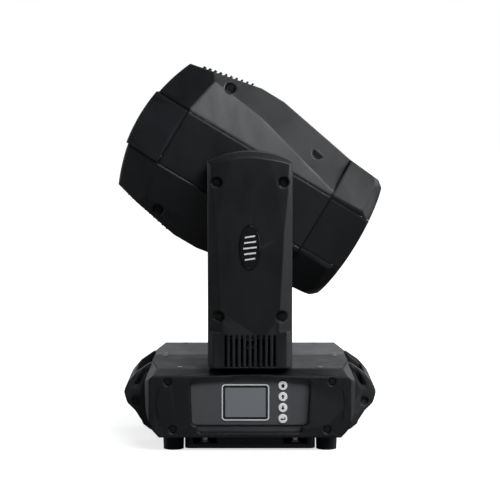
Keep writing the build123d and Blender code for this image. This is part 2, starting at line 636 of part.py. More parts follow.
def base_insides():
    """Power supply, lamp ballast, control board, pan bracket and the safety eye."""
    floor = KEEL_BOTTOM + TRAY_THICK
    keep("power_supply", vented_box(-KEEL_HALF_X + 6, -10, -85, 85, floor, floor + 50))
    keep("lamp_ballast", vented_box(6, KEEL_HALF_X - 6, -70, 60, floor, floor + 42))
    top = BRACKET_TOP
    bracket = block(-60, 60, -BRACKET_HALF_Y, BRACKET_HALF_Y, top - 3, top)
    bracket += block(-60, 60, -BRACKET_HALF_Y, -BRACKET_HALF_Y + 3, floor, top)
    bracket += block(-60, 60, BRACKET_HALF_Y - 3, BRACKET_HALF_Y, floor, top)
    bracket -= rod(0, 0, top - 10, top + 10, POST_BORE_R)
    keep("pan_bracket", bracket)
    post = rod(0, 0, top, PAN_BELT_Z + 8, POST_R) + rod(0, 0, top, top + 4, POST_R + 10)
    post += rod(0, 0, top, FRAME_BOTTOM - 1.3, POST_R + 3)
    post -= rod(0, 0, top - 5, 200, POST_BORE_R)
    keep("pan_post", post)
    pulley = rod(0, 0, PAN_BELT_Z - 7, PAN_BELT_Z + 7, PAN_PULLEY_R + 2)
    pulley -= rod(0, 0, PAN_BELT_Z - 5, PAN_BELT_Z + 5, 60) - rod(0, 0, 0, 200, PAN_PULLEY_R)
    pulley -= rod(0, 0, 0, 200, POST_R)
    keep("pan_pulley", pulley)
    board = block(-55, 55, BRACKET_HALF_Y + 2, BRACKET_HALF_Y + 3.6, floor + 12, BRACKET_TOP - 4)
    for x in (-50, 50):
        for z in (floor + 17, BRACKET_TOP - 9):
            board += rod_y(x, z, BRACKET_HALF_Y, BRACKET_HALF_Y + 2, 3)
    for x, z, wide, tall in ((-25, 50, 22, 22), (15, 60, 14, 14), (30, 35, 18, 10)):
        y = BRACKET_HALF_Y + 3.6
        board += block(x - wide / 2, x + wide / 2, y, y + 2.4, z - tall / 2, z + tall / 2)
    keep("control_board", board)
    tab = block(-14, 14, KEEL_HALF_Y, BASE_HALF_DEPTH - 1, KEEL_BOTTOM + 4, KEEL_BOTTOM + 8)
    tab -= rod(0, KEEL_HALF_Y + 6, 0, 50, ANCHOR_EYE_R)
    keep("safety_anchor", tab)

# ---------------------------------------------------------------- yoke
def arm_outline(inset=0.0):
    """Outline (x, z) of an arm: straight sides and a bowed top."""
    half = ARM_HALF_X - inset
    shoulder = ARM_SHOULDER - inset
    crown = ARM_CROWN - inset
    low = ARM_BOTTOM + inset
    sides = Polyline((-half, 0, shoulder), (-half, 0, low), (half, 0, low), (half, 0, shoulder))
    top = ThreePointArc((half, 0, shoulder), (0, 0, crown), (-half, 0, shoulder))
    return make_face(Wire([*sides.edges(), *top.edges()]))


def arm_block(y0, y1, inset=0.0):
    """An arm's full form between two planes."""
    return extrude(Pos(0, y0, 0) * arm_outline(inset), amount=y1 - y0, dir=(0, 1, 0))


def arm_form(inset=0.0):
    """The outer arm cover as a solid form on the -Y side: bevelled rim and flat facets down both edges."""
    form = arm_block(-ARM_OUTER_Y + inset, -ARM_SPLIT_Y, inset)
    face = -ARM_OUTER_Y + inset
    rim = [e for e in form.edges() if e.center().Y < face + 0.1 and e.center().Z > ARM_BOTTOM + 20]
    form = chamfer(rim, ARM_BEVEL - inset / 2)
    square = form & block(-200, 200, -200, 0, 0, ARM_WAIST - inset)
    inside = (0, -ARM_SPLIT_Y - 5, 250)
    for side in (-1, 1):
        edge = side * (ARM_HALF_X - inset)
        a = (side * (ARM_HALF_X - ARM_BEVEL), face, TILT_Z + 5)
        b = (side * (ARM_HALF_X - ARM_FACET), face, ARM_WAIST)
        c = (edge, face + ARM_FACET_DEPTH, ARM_WAIST)
        form = behind(form, a, b, c, inside)
        (high_x, high_z), (low_x, low_z) = ARM_TEMPLE
        form = behind(form, (side * high_x, face, high_z), (side * low_x, face, low_z),
                      (edge, face + ARM_TEMPLE_DEPTH, ARM_TEMPLE_Z), inside)
    return form + square


def arm_outer_covers():
    """Front and rear outer arm covers, with screw pockets, vent slots and an oval seat for the badge."""
    form = arm_form()
    shell = form - arm_form(ARM_WALL)
    shell -= block(-200, 200, -ARM_SPLIT_Y - 0.3, -ARM_SPLIT_Y + 5, 0, 500)
    face = -ARM_OUTER_Y
    for x, z, r in (ARM_SCREW_HIGH, ARM_SCREW_LOW):
        for side in (-1, 1):
            shell += rod_y(side * x, z, face + 2, face + SCREW_POCKET + ARM_WALL, r + 2) & form
            shell -= rod_y(side * x, z, face - 5, face + SCREW_POCKET, r)
            shell -= rod_y(side * x, z, face, face + 40, SCREW_HOLE_R)
    for number in range(VENT_COUNT):
        x = (number - (VENT_COUNT - 1) / 2) * VENT_PITCH
        shell -= block(x - VENT_WIDTH / 2, x + VENT_WIDTH / 2, face - 5, face + 12, VENT_LOW, VENT_HIGH)
    badge_seat = extrude(Ellipse(BADGE_HALF_X, BADGE_HALF_Z), 1.0, both=True)
    shell -= Pos(0, face, BADGE_Z) * Rot(90, 0, 0) * badge_seat
    keep("arm_cover_front", shell)
    keep("arm_cover_rear", mirror(shell, Plane.XZ))
    badge = extrude(Ellipse(BADGE_HALF_X - 0.2, BADGE_HALF_Z - 0.2), BADGE_THICK)
    badge = chamfer(badge.edges().group_by(Axis.Z)[-1], 0.8)
    badge = Pos(0, face + 1.0, BADGE_Z) * Rot(90, 0, 0) * badge
    keep("arm_badges", badge, mirror(badge, Plane.XZ))


def arm_inner_covers():
    """Inner arm covers, open towards the outer ones, with a hole for the tilt shaft."""
    form = arm_block(-ARM_SPLIT_Y + 0.3, -ARM_INNER_Y)
    rim = [e for e in form.edges() if e.center().Y > -ARM_INNER_Y - 0.1 and e.center().Z > ARM_BOTTOM + 20]
    form = chamfer(rim, 3.0)
    hollow = arm_block(-ARM_SPLIT_Y - 1, -ARM_INNER_Y - ARM_WALL, ARM_WALL)
    shell = form - hollow
    shell -= rod_y(0, TILT_Z, -200, 0, TILT_BEARING_R + 5)
    shell -= block(-BRIDGE_HALF_X + 2, BRIDGE_HALF_X - 2, -ARM_INNER_Y - 8, 0, 0, BRIDGE_TOP - 6)
    keep("arm_inner_covers", shell, mirror(shell, Plane.XZ))


def bridge_cover():
    """The cover over the yoke's cross member, between the arms."""
    reach = ARM_INNER_Y - 0.2
    outer = block(-BRIDGE_HALF_X, BRIDGE_HALF_X, -reach, reach, ARM_BOTTOM, BRIDGE_TOP)
    outer = chamfer(outer.edges().filter_by(Axis.Y).group_by(Axis.Z)[-1], 12)
    inner = block(-BRIDGE_HALF_X + 2.5, BRIDGE_HALF_X - 2.5, -ARM_INNER_Y, ARM_INNER_Y, 0, BRIDGE_TOP - 2.5)
    inner = chamfer(inner.edges().filter_by(Axis.Y).group_by(Axis.Z)[-1], 11)
    keep("yoke_bridge_cover", outer - inner)


def yoke_frame():
    """Folded steel frame: a cross member on the pan bearing and an upright inside each arm."""
    low = FRAME_BOTTOM
    plate = block(-FRAME_HALF_X, FRAME_HALF_X, -UPRIGHT_Y, UPRIGHT_Y, low, low + FRAME_THICK)
    plate -= rod(0, 0, 0, 200, PAN_BEARING_R)
    for side in (-1, 1):
        inner = side * (UPRIGHT_Y - FRAME_THICK)
        plate += block(-FRAME_HALF_X, FRAME_HALF_X, inner, side * UPRIGHT_Y, low, TILT_Z + 26)
    for side in (-1, 1):
        plate -= rod_y(0, TILT_Z, side * (UPRIGHT_Y - 8), side * (UPRIGHT_Y + 5), TILT_BEARING_R)
        plate -= rounded(block(-24, 24, side * (UPRIGHT_Y - 8), side * (UPRIGHT_Y + 5), 172, 222), Axis.Y, 8)
    plate -= block(-24, 24, -UPRIGHT_Y - 5, -UPRIGHT_Y + 5, PAN_BELT_Z - 8, PAN_BELT_Z + 7)
    plate = rounded_lip(plate)
    motor_back = PAN_MOTOR_Y - MOTOR_HALF
    shelf = block(-30, 30, motor_back + 2, -UPRIGHT_Y, SHELF_Z, SHELF_Z + 3)
    shelf -= rod(0, PAN_MOTOR_Y, 0, 300, 11.2)
    plate += shelf
    bracket = block(-28, 28, UPRIGHT_Y, MOTOR_FACE_Y, TILT_MOTOR_Z - 28, TILT_MOTOR_Z - 25)
    bracket += block(-28, 28, MOTOR_FACE_Y - 2, MOTOR_FACE_Y, TILT_MOTOR_Z - 28, TILT_MOTOR_Z + 24)
    bracket -= rod_y(0, TILT_MOTOR_Z, 0, 200, 11.2)
    plate += bracket
    keep("yoke_frame", plate)


def rounded_lip(plate):
    """Rounds the upper corners of the uprights."""
    corners = [e for e in plate.edges().filter_by(Axis.Y) if e.center().Z > TILT_Z + 20]
    return fillet(corners, 14)


def pan_drive():
    """Pan bearing, motor, pinion and belt."""
    bearing = rod(0, 0, FRAME_BOTTOM - 1, FRAME_BOTTOM + 12, PAN_BEARING_R)
    bearing += rod(0, 0, FRAME_BOTTOM + FRAME_THICK, FRAME_BOTTOM + FRAME_THICK + 2, PAN_BEARING_R + 6)
    bearing -= rod(0, 0, 0, 200, POST_R + RUNNING)
    keep("pan_bearing", bearing)
    motor = motor_solid(SHELF_Z + 3, 1)
    keep("pan_motor", Pos(0, PAN_MOTOR_Y, 0) * motor)
    keep("pan_motor_pulley", Pos(0, PAN_MOTOR_Y, PAN_BELT_Z) * pinion(PAN_PINION_R))
    keep("pan_belt", belt(PAN_PULLEY_R, PAN_PINION_R, PAN_MOTOR_Y, PAN_BELT_Z))


def motor_solid(face_z, way):
    """A stepper motor whose mounting face is at face_z and whose shaft points down."""
    can = block(-MOTOR_HALF, MOTOR_HALF, -MOTOR_HALF, MOTOR_HALF, face_z, face_z + way * MOTOR_LENGTH)
    can = chamfer(can.edges().filter_by(Axis.Z), 3)
    spigot = rod(0, 0, face_z - 2, face_z, 11)
    shaft = rod(0, 0, face_z - MOTOR_SHAFT, face_z, 2.5)
    return can + spigot + shaft


def pinion(radius):
    """A toothed belt pulley with its flanges, centred on the belt's plane, bored for the motor shaft."""
    body = rod(0, 0, -BELT_WIDTH / 2 - 1, BELT_WIDTH / 2 + 1, radius)
    body += rod(0, 0, -BELT_WIDTH / 2 - 2, -BELT_WIDTH / 2 - 0.8, radius + 2)
    body += rod(0, 0, BELT_WIDTH / 2 + 0.8, BELT_WIDTH / 2 + 2, radius + 2)
    return body - rod(0, 0, -20, 20, 2.5 + RUNNING)


def belt(big, small, distance, z):
    """A flat belt round two pulleys: one on the Z axis and one at distance along Y."""
    run = abs(distance)
    lean = asin((big - small) / run)
    way = 1 if distance > 0 else -1
    loops = []
    for grow in (BELT_CLEAR, BELT_CLEAR + BELT_THICK):
        wheels = rod(0, 0, z - BELT_WIDTH / 2, z + BELT_WIDTH / 2, big + grow)
        wheels += rod(0, distance, z - BELT_WIDTH / 2, z + BELT_WIDTH / 2, small + grow)
        quad = []
        for radius, centre in ((big + grow, 0.0), (small + grow, distance)):
            quad.append((radius * cos(lean), centre + way * radius * sin(lean)))
        quad += [(-x, y) for x, y in reversed(quad)]
        loops.append(wheels + flat_z(quad, z - BELT_WIDTH / 2, z + BELT_WIDTH / 2))
    return loops[1] - loops[0]


def to_tilt_plane(shape):
    """Carries a drive drawn round the Z axis to the tilt axis, its Y to -Z and its Z to +Y."""
    return Pos(0, TILT_BELT_Y, TILT_Z) * Rot(-90, 0, 0) * shape


def tilt_drive():
    """Tilt bearings in both arms, and the motor, pinion and belt in the rear one."""
    bearing = rod_y(0, TILT_Z, UPRIGHT_Y - FRAME_THICK, UPRIGHT_Y + 0.6, TILT_BEARING_R)
    bearing += rod_y(0, TILT_Z, UPRIGHT_Y - FRAME_THICK - 2, UPRIGHT_Y - FRAME_THICK, TILT_BEARING_R + 4)
    bearing -= rod_y(0, TILT_Z, 0, 200, SHAFT_R + RUNNING)
    keep("tilt_bearings", bearing, mirror(bearing, Plane.XZ))
    drop = TILT_Z - TILT_MOTOR_Z
    motor = Pos(0, MOTOR_FACE_Y, TILT_MOTOR_Z) * Rot(-90, 0, 0) * motor_solid(0, 1)
    keep("tilt_motor", motor)
    keep("tilt_motor_pulley", to_tilt_plane(Pos(0, drop, 0) * pinion(TILT_PINION_R)))
    keep("tilt_belt", to_tilt_plane(belt(TILT_PULLEY_R, TILT_PINION_R, drop, 0)))


def arm_screws():
    """Cover screws at the bottom of the pockets in both outer arm covers."""
    solids = []
    for x, z, r in (ARM_SCREW_HIGH, ARM_SCREW_LOW):
        for side in (-1, 1):
            head = rod_y(side * x, z, -ARM_OUTER_Y + SCREW_POCKET - 2.2, -ARM_OUTER_Y + SCREW_POCKET, 3.6)
            shank = rod_y(side * x, z, -ARM_OUTER_Y + SCREW_POCKET, -ARM_SPLIT_Y - 4, SCREW_HOLE_R - 0.1)
            screw = head + shank
            solids += [screw, mirror(screw, Plane.XZ)]
    keep("arm_screws", *solids)


# ---------------------------------------------------------------- head, in its own frame
def head_hull(inset=0.0):
    """The faceted form of the head's covers behind the bezel; inset shrinks it by a wall on every side."""
    wide = HEAD_HALF_W - inset
    tall = HEAD_TOP - inset
    hull = block(REAR_FLAT + inset, NECK + inset, -wide, wide, -tall, tall)
    seam_neck = (NECK, NECK_HALF_W, SEAM)
    for up in (-1, 1):
        hull = head_plane(hull, inset, SLOPE_FOOT, RIDGE, level(RIDGE), up, 1)
        hull = head_plane(hull, inset, FALL, (NECK, 0, NECK_TOP), level((NECK, 0, NECK_TOP)), up, 1)
        for side in (-1, 1):
            hull = head_plane(hull, inset, (SIDE_START, HEAD_HALF_W, 0), (NECK, NECK_HALF_W, 0),
                              (NECK, NECK_HALF_W, 9), up, side)
            hull = head_plane(hull, inset, (SIDE_START, HEAD_HALF_W, SEAM), CHEEK_TOP, seam_neck, up, side)
            hull = head_plane(hull, inset, BROW, NECK_CORNER, SHOULDER, up, side)
            hull = head_plane(hull, inset, CHEEK_TOP, BROW, BROW_RIDGE, up, side)
            hull = head_plane(hull, inset, CHEEK_SEAM, (REAR_SPLIT - 2, HEAD_HALF_W, 0), REAR_CORNER, up,
                              side)
            hull = head_plane(hull, inset, CHEEK_SEAM, CHEEK_TOP, REAR_SIDE, up, side)
    return hull & rod_y(REAR_CENTRE, 0, -120, 120, REAR_R - inset)


def level(point):
    """A second point beside point, for a plane that is level across the head."""
    x, y, z = point
    return (x, y + 10, z)


def head_plane(hull, inset, a, b, c, up, side):
    """Cuts hull by a plane given for the upper +Y quarter, moved inwards by inset and mirrored as asked."""
    points = [Vector(x, side * y, up * z) for x, y, z in (a, b, c)]
    normal = (points[1] - points[0]).cross(points[2] - points[0]).normalized()
    if normal.dot(points[0]) < 0:
        normal = -normal
    return split(hull, Plane(origin=points[0] - normal * inset, z_dir=normal), keep=Keep.BOTTOM)


def nose_hull(inset=0.0):
    """The faceted form of the front bezel, whose upper and lower lips slope in to the rim."""
    wide = HEAD_HALF_W - inset
    tall = HEAD_TOP - inset
    hull = block(NECK, NOSE_END - inset, -wide, wide, -tall, tall)
    lip = (LIP, 0, LIP_TOP)
    for up in (-1, 1):
        hull = head_plane(hull, inset, (NECK, 0, NECK_TOP), lip, level(lip), up, 1)
        hull = head_plane(hull, inset, lip, (NOSE_END, 0, RIM_TOP), level(lip), up, 1)
        for side in (-1, 1):
            hull = head_plane(hull, inset, (NECK, NECK_HALF_W, 0), (NOSE_END, RIM_HALF_W, 0),
                              (NECK, NECK_HALF_W, 9), up, side)
            hull = head_plane(hull, inset, NECK_CORNER, NECK_TOP_CORNER, LIP_CORNER, up, side)
            hull = head_plane(hull, inset, LIP_CORNER, LIP_TOP_CORNER, RIM_CORNER, up, side)
    return hull & nose_round(inset) & rod_y(NOSE_END - NOSE_BOW_R, 0, -120, 120, NOSE_BOW_R - inset)


def nose_round(inset):
    """A round form about the light's axis that takes the corners off the bezel's rim."""
    start, middle, end = [(x - inset, radius - inset) for x, radius in NOSE_ROUND]
    rim = ThreePointArc(start, middle, end)
    rest = Polyline(end, (end[0], 0), (NECK - 5, 0), (NECK - 5, start[1] + 30), (start[0], start[1]))
    return revolve(make_face(Wire([*rim.edges(), *rest.edges()])), axis=Axis.X)


def head_covers():
    """Upper and lower covers, side panels and rear grille of the head."""
    shell = head_hull() - head_hull(HEAD_WALL)
    above = shell & block(-300, NECK - SEAM_GAP, -200, 200, SEAM + SEAM_GAP / 2, 200)
    solid = head_hull()
    for place in (HEAD_SCREW_REAR, HEAD_SCREW_FRONT):
        for side in (-1, 1):
            above += head_screw_pocket(place, side, HEAD_WALL) & solid
            above -= head_screw_pocket(place, side, 0.0)
    above = louvres(above)
    keep_head("head_cover_upper", above)
    keep_head("head_cover_lower", mirror(above, Plane.XY))
    band = shell & block(-300, NECK - SEAM_GAP, -200, 200, -SEAM + SEAM_GAP / 2, SEAM - SEAM_GAP / 2)
    band -= rod_y(0, 0, -200, 200, SHAFT_R + 0.5)
    left = band & block(REAR_SPLIT + REAR_GAP, NECK, -200, -20, -60, 60)
    right = band & block(REAR_SPLIT + REAR_GAP, NECK, 20, 200, -60, 60)
    keep_head("head_side_panels", left, right)
    rear = Pos(-REAR_PROUD, 0, 0) * (band & block(-300, REAR_SPLIT + REAR_PROUD, -200, 200, -60, 60))
    for number in range(GRILLE_SLOTS):
        y = (number - (GRILLE_SLOTS - 1) / 2) * GRILLE_PITCH
        rear -= block(-300, -150, y - 1.8, y + 1.8, -28, 28)
    keep_head("rear_grille", rear)


def head_screw_pocket(place, side, wall):
    """A round pocket for a cover screw in a corner of the head's upper cover, grown by a wall for its cup."""
    x, floor, z = place
    return rod_y(x, z, side * (floor - wall), side * 130, HEAD_POCKET_R + wall)


def louvres(cover):
    """Cross fins and slots on the sloping rear facet of a cover, and a few fins ahead of its ridge."""
    foot_x = SLOPE_FOOT[0]
    foot_z = SLOPE_FOOT[2]
    slope = (RIDGE[2] - foot_z) / (RIDGE[0] - foot_x)
    for number in range(LOUVRE_COUNT):
        x = LOUVRE_START + number * LOUVRE_PITCH
        z = foot_z + (x - foot_x) * slope
        half = 34 - number * 0.6
        fin = block(-1.3, 1.3, -half, half, -3.0, 3.2)
        cover -= block(x + 1.6, x + LOUVRE_PITCH - 1.6, -half + 4, half - 4, z - 8, z + 8)
        cover += Pos(x, 0, z) * Rot(0, 20, 0) * fin
    return cover


def keep_head(name, *solids):
    """Files head solids after carrying them to the rest pose."""
    keep(name, *[head_place(s) for s in solids])


def head_place(shape):
    """From the head's frame to the row's frame at rest."""
    return Pos(0, 0, TILT_Z) * Rot(0, TILT_REST, 0) * shape


def bezel():
    """The front bezel's four mouldings with the opening for the lens."""
    shell = nose_hull() - nose_hull(HEAD_WALL)
    shell += nose_hull() & block(LENS_FACE_X, LENS_FACE_X + 3, -120, 120, -120, 120)
    shell -= rod_x(0, 0, NECK - 5, NOSE_END + 5, LENS_R + 3)
    upper = shell & block(NECK, 200, -120, 120, NOSE_SEAM + SEAM_GAP / 2, 120)
    inner = HEAD_WALL + TONGUE_THICK
    front = NOSE_END - TONGUE
    ahead = LENS_FACE_X + 2
    root = nose_hull(HEAD_WALL - 0.1) - nose_hull(inner)
    upper += root & block(ahead, front, -120, 120, NOSE_SEAM + SEAM_GAP / 2, NOSE_SEAM + TONGUE)
    lap = nose_hull(HEAD_WALL + 0.2) - nose_hull(inner)
    upper += lap & block(LENS_FACE_X + 3.2, front, -120, 120, NOSE_SEAM - TONGUE, NOSE_SEAM + TONGUE)
    lower = mirror(upper, Plane.XY)
    sides = shell & block(NECK, 200, -120, 120, -NOSE_SEAM + SEAM_GAP / 2, NOSE_SEAM - SEAM_GAP / 2)
    keep_head("front_bezel", upper, lower, *sides.solids())


def head_insides():
    """Chassis, shafts, pulley, lens, lamp, reflector, wheels, prism, focus carriage and fan."""
    plates = block(FAN_X + 15, CHASSIS_FRONT, -CHASSIS_HALF_Y, -CHASSIS_HALF_Y + 2.5, -38, 38)
    plates += block(FAN_X + 15, CHASSIS_FRONT, CHASSIS_HALF_Y - 2.5, CHASSIS_HALF_Y, -38, 38)
    walls = (
        (FAN_X + 15, 28.5),
        (LAMP_X + 12, LAMP_BORE_R),
        (WHEEL_PLATE_X, 16),
        (PRISM_X, PRISM_R + RUNNING),
        (CHASSIS_FRONT - 2.5, LENS_R - 14),
    )
    for x, bore in walls:
        wall = block(x, x + 2.5, -CHASSIS_HALF_Y, CHASSIS_HALF_Y, -64, 64)
        plates += wall - rod_x(0, 0, x - 5, x + 5, bore)
    plates -= rod_y(0, 0, -CHASSIS_HALF_Y - 5, CHASSIS_HALF_Y + 5, SHAFT_BORE_R)
    plates = (plates & head_hull(HEAD_WALL + 1.0)) + lens_ring()
    keep_head("head_chassis", plates)
    shaft = rod_y(0, 0, CHASSIS_HALF_Y, TILT_BELT_Y + 6, SHAFT_R)
    shaft += rod_y(0, 0, CHASSIS_HALF_Y, CHASSIS_HALF_Y + 5, SHAFT_R + 9)
    shaft -= rod_y(0, 0, 0, 200, SHAFT_BORE_R)
    keep_head("tilt_shafts", shaft, mirror(shaft, Plane.XZ))
    pulley = rod_y(0, 0, TILT_BELT_Y - 5.4, TILT_BELT_Y + 5.4, TILT_PULLEY_R)
    pulley += rod_y(0, 0, TILT_BELT_Y - 6, TILT_BELT_Y - 5, TILT_PULLEY_R + 2)
    pulley += rod_y(0, 0, TILT_BELT_Y + 5, TILT_BELT_Y + 6, TILT_PULLEY_R + 2)
    pulley -= rod_y(0, 0, 0, 200, SHAFT_R)
    keep_head("tilt_pulley", pulley)
    ball = Pos(LENS_FACE_X - LENS_DOME_R, 0, 0) * Sphere(LENS_DOME_R)
    lens = ball & rod_x(0, 0, LENS_BACK_X, LENS_FACE_X + 5, LENS_R)
    keep_head("front_lens", lens)
    dish = Pos(LAMP_X, 0, 0) * (Sphere(REFLECTOR_R) - Sphere(REFLECTOR_R - 2.5))
    dish = dish & block(LAMP_X - 60, LAMP_X + 10, -80, 80, -80, 80)
    dish -= rod_x(0, 0, LAMP_X - 80, LAMP_X, 8)
    flange = block(LAMP_X + 9, LAMP_X + 12, -44, 44, -44, 44)
    dish += flange - rod_x(0, 0, LAMP_X, LAMP_X + 20, REFLECTOR_R - 4)
    keep_head("lamp_reflector", dish)
    lamp = rod_x(0, 0, LAMP_X - 44, LAMP_X - 12, 7.9) + Pos(LAMP_X - 6, 0, 0) * Sphere(8)
    lamp += rod_x(0, 0, LAMP_X - 62, LAMP_X - 40, 13)
    keep_head("discharge_lamp", lamp)
    keep_head("color_wheel", filter_wheel(COLOR_X, -1))
    keep_head("gobo_wheel", filter_wheel(GOBO_X, 1))
    prism = rod_x(0, 0, PRISM_X, PRISM_X + 7, PRISM_R)
    prism = chamfer(prism.edges().group_by(Axis.X)[-1], 5)
    keep_head("prism", prism)
    keep_head("focus_carriage", focus_carriage())
    frame = block(FAN_X, FAN_X + 15, -30, 30, -30, 30) - rod_x(0, 0, FAN_X - 5, FAN_X + 20, 28.5)
    frame = chamfer(frame.edges().filter_by(Axis.X), 2)
    frame += block(FAN_X, FAN_X + 2, -30, 30, -2.5, 2.5) + rod_x(0, 0, FAN_X, FAN_X + 12, 4)
    keep_head("head_fan_frame", frame)
    hub = rod_x(0, 0, FAN_X + 3, FAN_X + 14, 11) - rod_x(0, 0, FAN_X, FAN_X + 12.3, 4 + RUNNING * 4)
    rotor = hub
    for number in range(7):
        blade = block(-1, 1, -5, 5, 10, 27)
        blade = Pos(FAN_X + 8.5, 0, 0) * Rot(number * 360 / 7, 0, 0) * Rot(0, 0, 38) * blade
        rotor += blade
    keep_head("head_fan_rotor", rotor)

def lens_ring():
    """The tube on the chassis that carries the front lens, and the rods that the focus carriage slides on."""
    ring = rod_x(0, 0, CHASSIS_FRONT, LENS_FACE_X, LENS_R + 2.6) - rod_x(0, 0, 0, 200, LENS_R)
    for z in (-RAIL_Z, RAIL_Z):
        ring += rod_x(0, z, PRISM_X, CHASSIS_FRONT - 2, RAIL_R)
    ring += rod_x(0, -WHEEL_OFFSET, WHEEL_PLATE_X, COLOR_X + 3, AXLE_R)
    ring += rod_x(0, WHEEL_OFFSET, WHEEL_PLATE_X, GOBO_X + 3, AXLE_R)
    return ring


def filter_wheel(x, way):
    """A wheel of apertures that turns on its own axle beside the beam."""
    centre = way * WHEEL_OFFSET
    wheel = rod_x(0, centre, x, x + 1.5, WHEEL_R) + rod_x(0, centre, x - 1, x + 2.5, 8)
    for number in range(WHEEL_HOLES):
        angle = 2 * pi * number / WHEEL_HOLES
        y = WHEEL_OFFSET * sin(angle)
        z = centre + WHEEL_OFFSET * cos(angle)
        wheel -= rod_x(y, z, x - 5, x + 5, WHEEL_HOLE_R)
    return wheel - rod_x(0, centre, x - 5, x + 5, AXLE_R + RUNNING)


def focus_carriage():
    """The focus lens in its carrier plate."""
    plate = rod_x(0, 0, FOCUS_X, FOCUS_X + 3, FOCUS_R + 4)
    plate += block(FOCUS_X, FOCUS_X + 3, -8, 8, -RAIL_Z - 7, RAIL_Z + 7)
    plate += rod_x(0, 0, FOCUS_X - 4, FOCUS_X + 7, FOCUS_R)
    for z in (-RAIL_Z, RAIL_Z):
        plate += rod_x(0, z, FOCUS_X - 4, FOCUS_X + 7, RAIL_R + 3)
        plate -= rod_x(0, z, FOCUS_X - 10, FOCUS_X + 10, RAIL_R + RUNNING)
    return plate


def base_screws():
    """Screws that hold the top plates."""
    solids = []
    for x, y in PLATE_SCREWS:
        for side in (-1, 1):
            shank = rod(side * x, y, BASE_TOP - 8, BASE_TOP, 2.2)
            solids.append(shank + rod(side * x, y, BASE_TOP, BASE_TOP + 0.8, 3.4))
    for x, z in COVER_SCREWS:
        for side in (-1, 1):
            for face in (-BASE_HALF_DEPTH, BASE_HALF_DEPTH):
                way = 1 if face < 0 else -1
                seat = face + way * COVER_SCREW_DEEP
                head = rod_y(side * x, z, seat, seat - way * 2.4, 4.2)
                solids.append(head + rod_y(side * x, z, seat, seat + way * 10, 1.9))
    keep("base_screws", *solids)


top_plates()
end_covers()
tray()
feet()
receptacles()
handles()
display()
connectors()
base_insides()
base_screws()
arm_outer_covers()
arm_inner_covers()
bridge_cover()
yoke_frame()
pan_drive()
tilt_drive()
arm_screws()
head_covers()
bezel()
head_insides()

for node, solids in PARTS.items():
    part = solids[0] if len(solids) == 1 else Compound(children=list(solids))
    part.label = node
    export_step(part, f"parts/{node}.step")
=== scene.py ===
"""Looks of the moving head light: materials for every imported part, fine surface detail, studio and camera."""

from math import cos, pi, radians, sin

import bmesh
import bpy
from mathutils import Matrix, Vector


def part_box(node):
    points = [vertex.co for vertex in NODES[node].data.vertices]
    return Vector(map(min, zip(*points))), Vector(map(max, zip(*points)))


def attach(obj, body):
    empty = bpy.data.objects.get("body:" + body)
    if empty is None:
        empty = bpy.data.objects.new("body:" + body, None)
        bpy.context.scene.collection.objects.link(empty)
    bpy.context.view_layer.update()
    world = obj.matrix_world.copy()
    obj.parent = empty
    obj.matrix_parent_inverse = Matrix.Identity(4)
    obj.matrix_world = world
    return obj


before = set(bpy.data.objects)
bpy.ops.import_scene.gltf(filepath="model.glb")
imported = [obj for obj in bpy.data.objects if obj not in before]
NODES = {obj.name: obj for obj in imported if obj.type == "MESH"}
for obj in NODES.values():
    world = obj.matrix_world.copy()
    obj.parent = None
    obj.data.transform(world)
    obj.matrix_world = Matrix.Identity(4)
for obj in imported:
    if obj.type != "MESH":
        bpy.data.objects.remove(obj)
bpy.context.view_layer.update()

MM = 0.001

# Noise scales, in features per metre
PATCHES = 14.0              # faint differences in tone
CLOUDS = 20.0
SMUDGES = 35.0              # where hands have been
SHEEN = 50.0
SPECKS = 260.0              # settled dust
TOOL_LINES = 300.0          # machining marks
COARSE_GRAIN = 420.0
ORANGE_PEEL = 700.0
FINE_GRAIN = 1500.0         # spark-eroded texture

PEEL_DEPTH = 0.08 * MM      # relief of the powder coat
JOINT_BLUR = 0.2 * MM       # the front plate's painted shade fades in within this of the joint between the top plates
GLASS_ROUGH = 0.02
# colour of the painted glow on pieces that are no lamps
PAINTED_GLOW_WHITE = (1.0, 1.0, 0.98, 1.0)
PLATE_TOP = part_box("base_top_plates")[1][2]
PLATE_REAR = (0.036, 0.036, 0.037)
# painted shade: the front plate's darker colour stands in for the darker light on it
PLATE_FRONT_PAINTED_SHADE = (0.015, 0.0152, 0.016)
DARK_STEEL = (0.07, 0.07, 0.075)


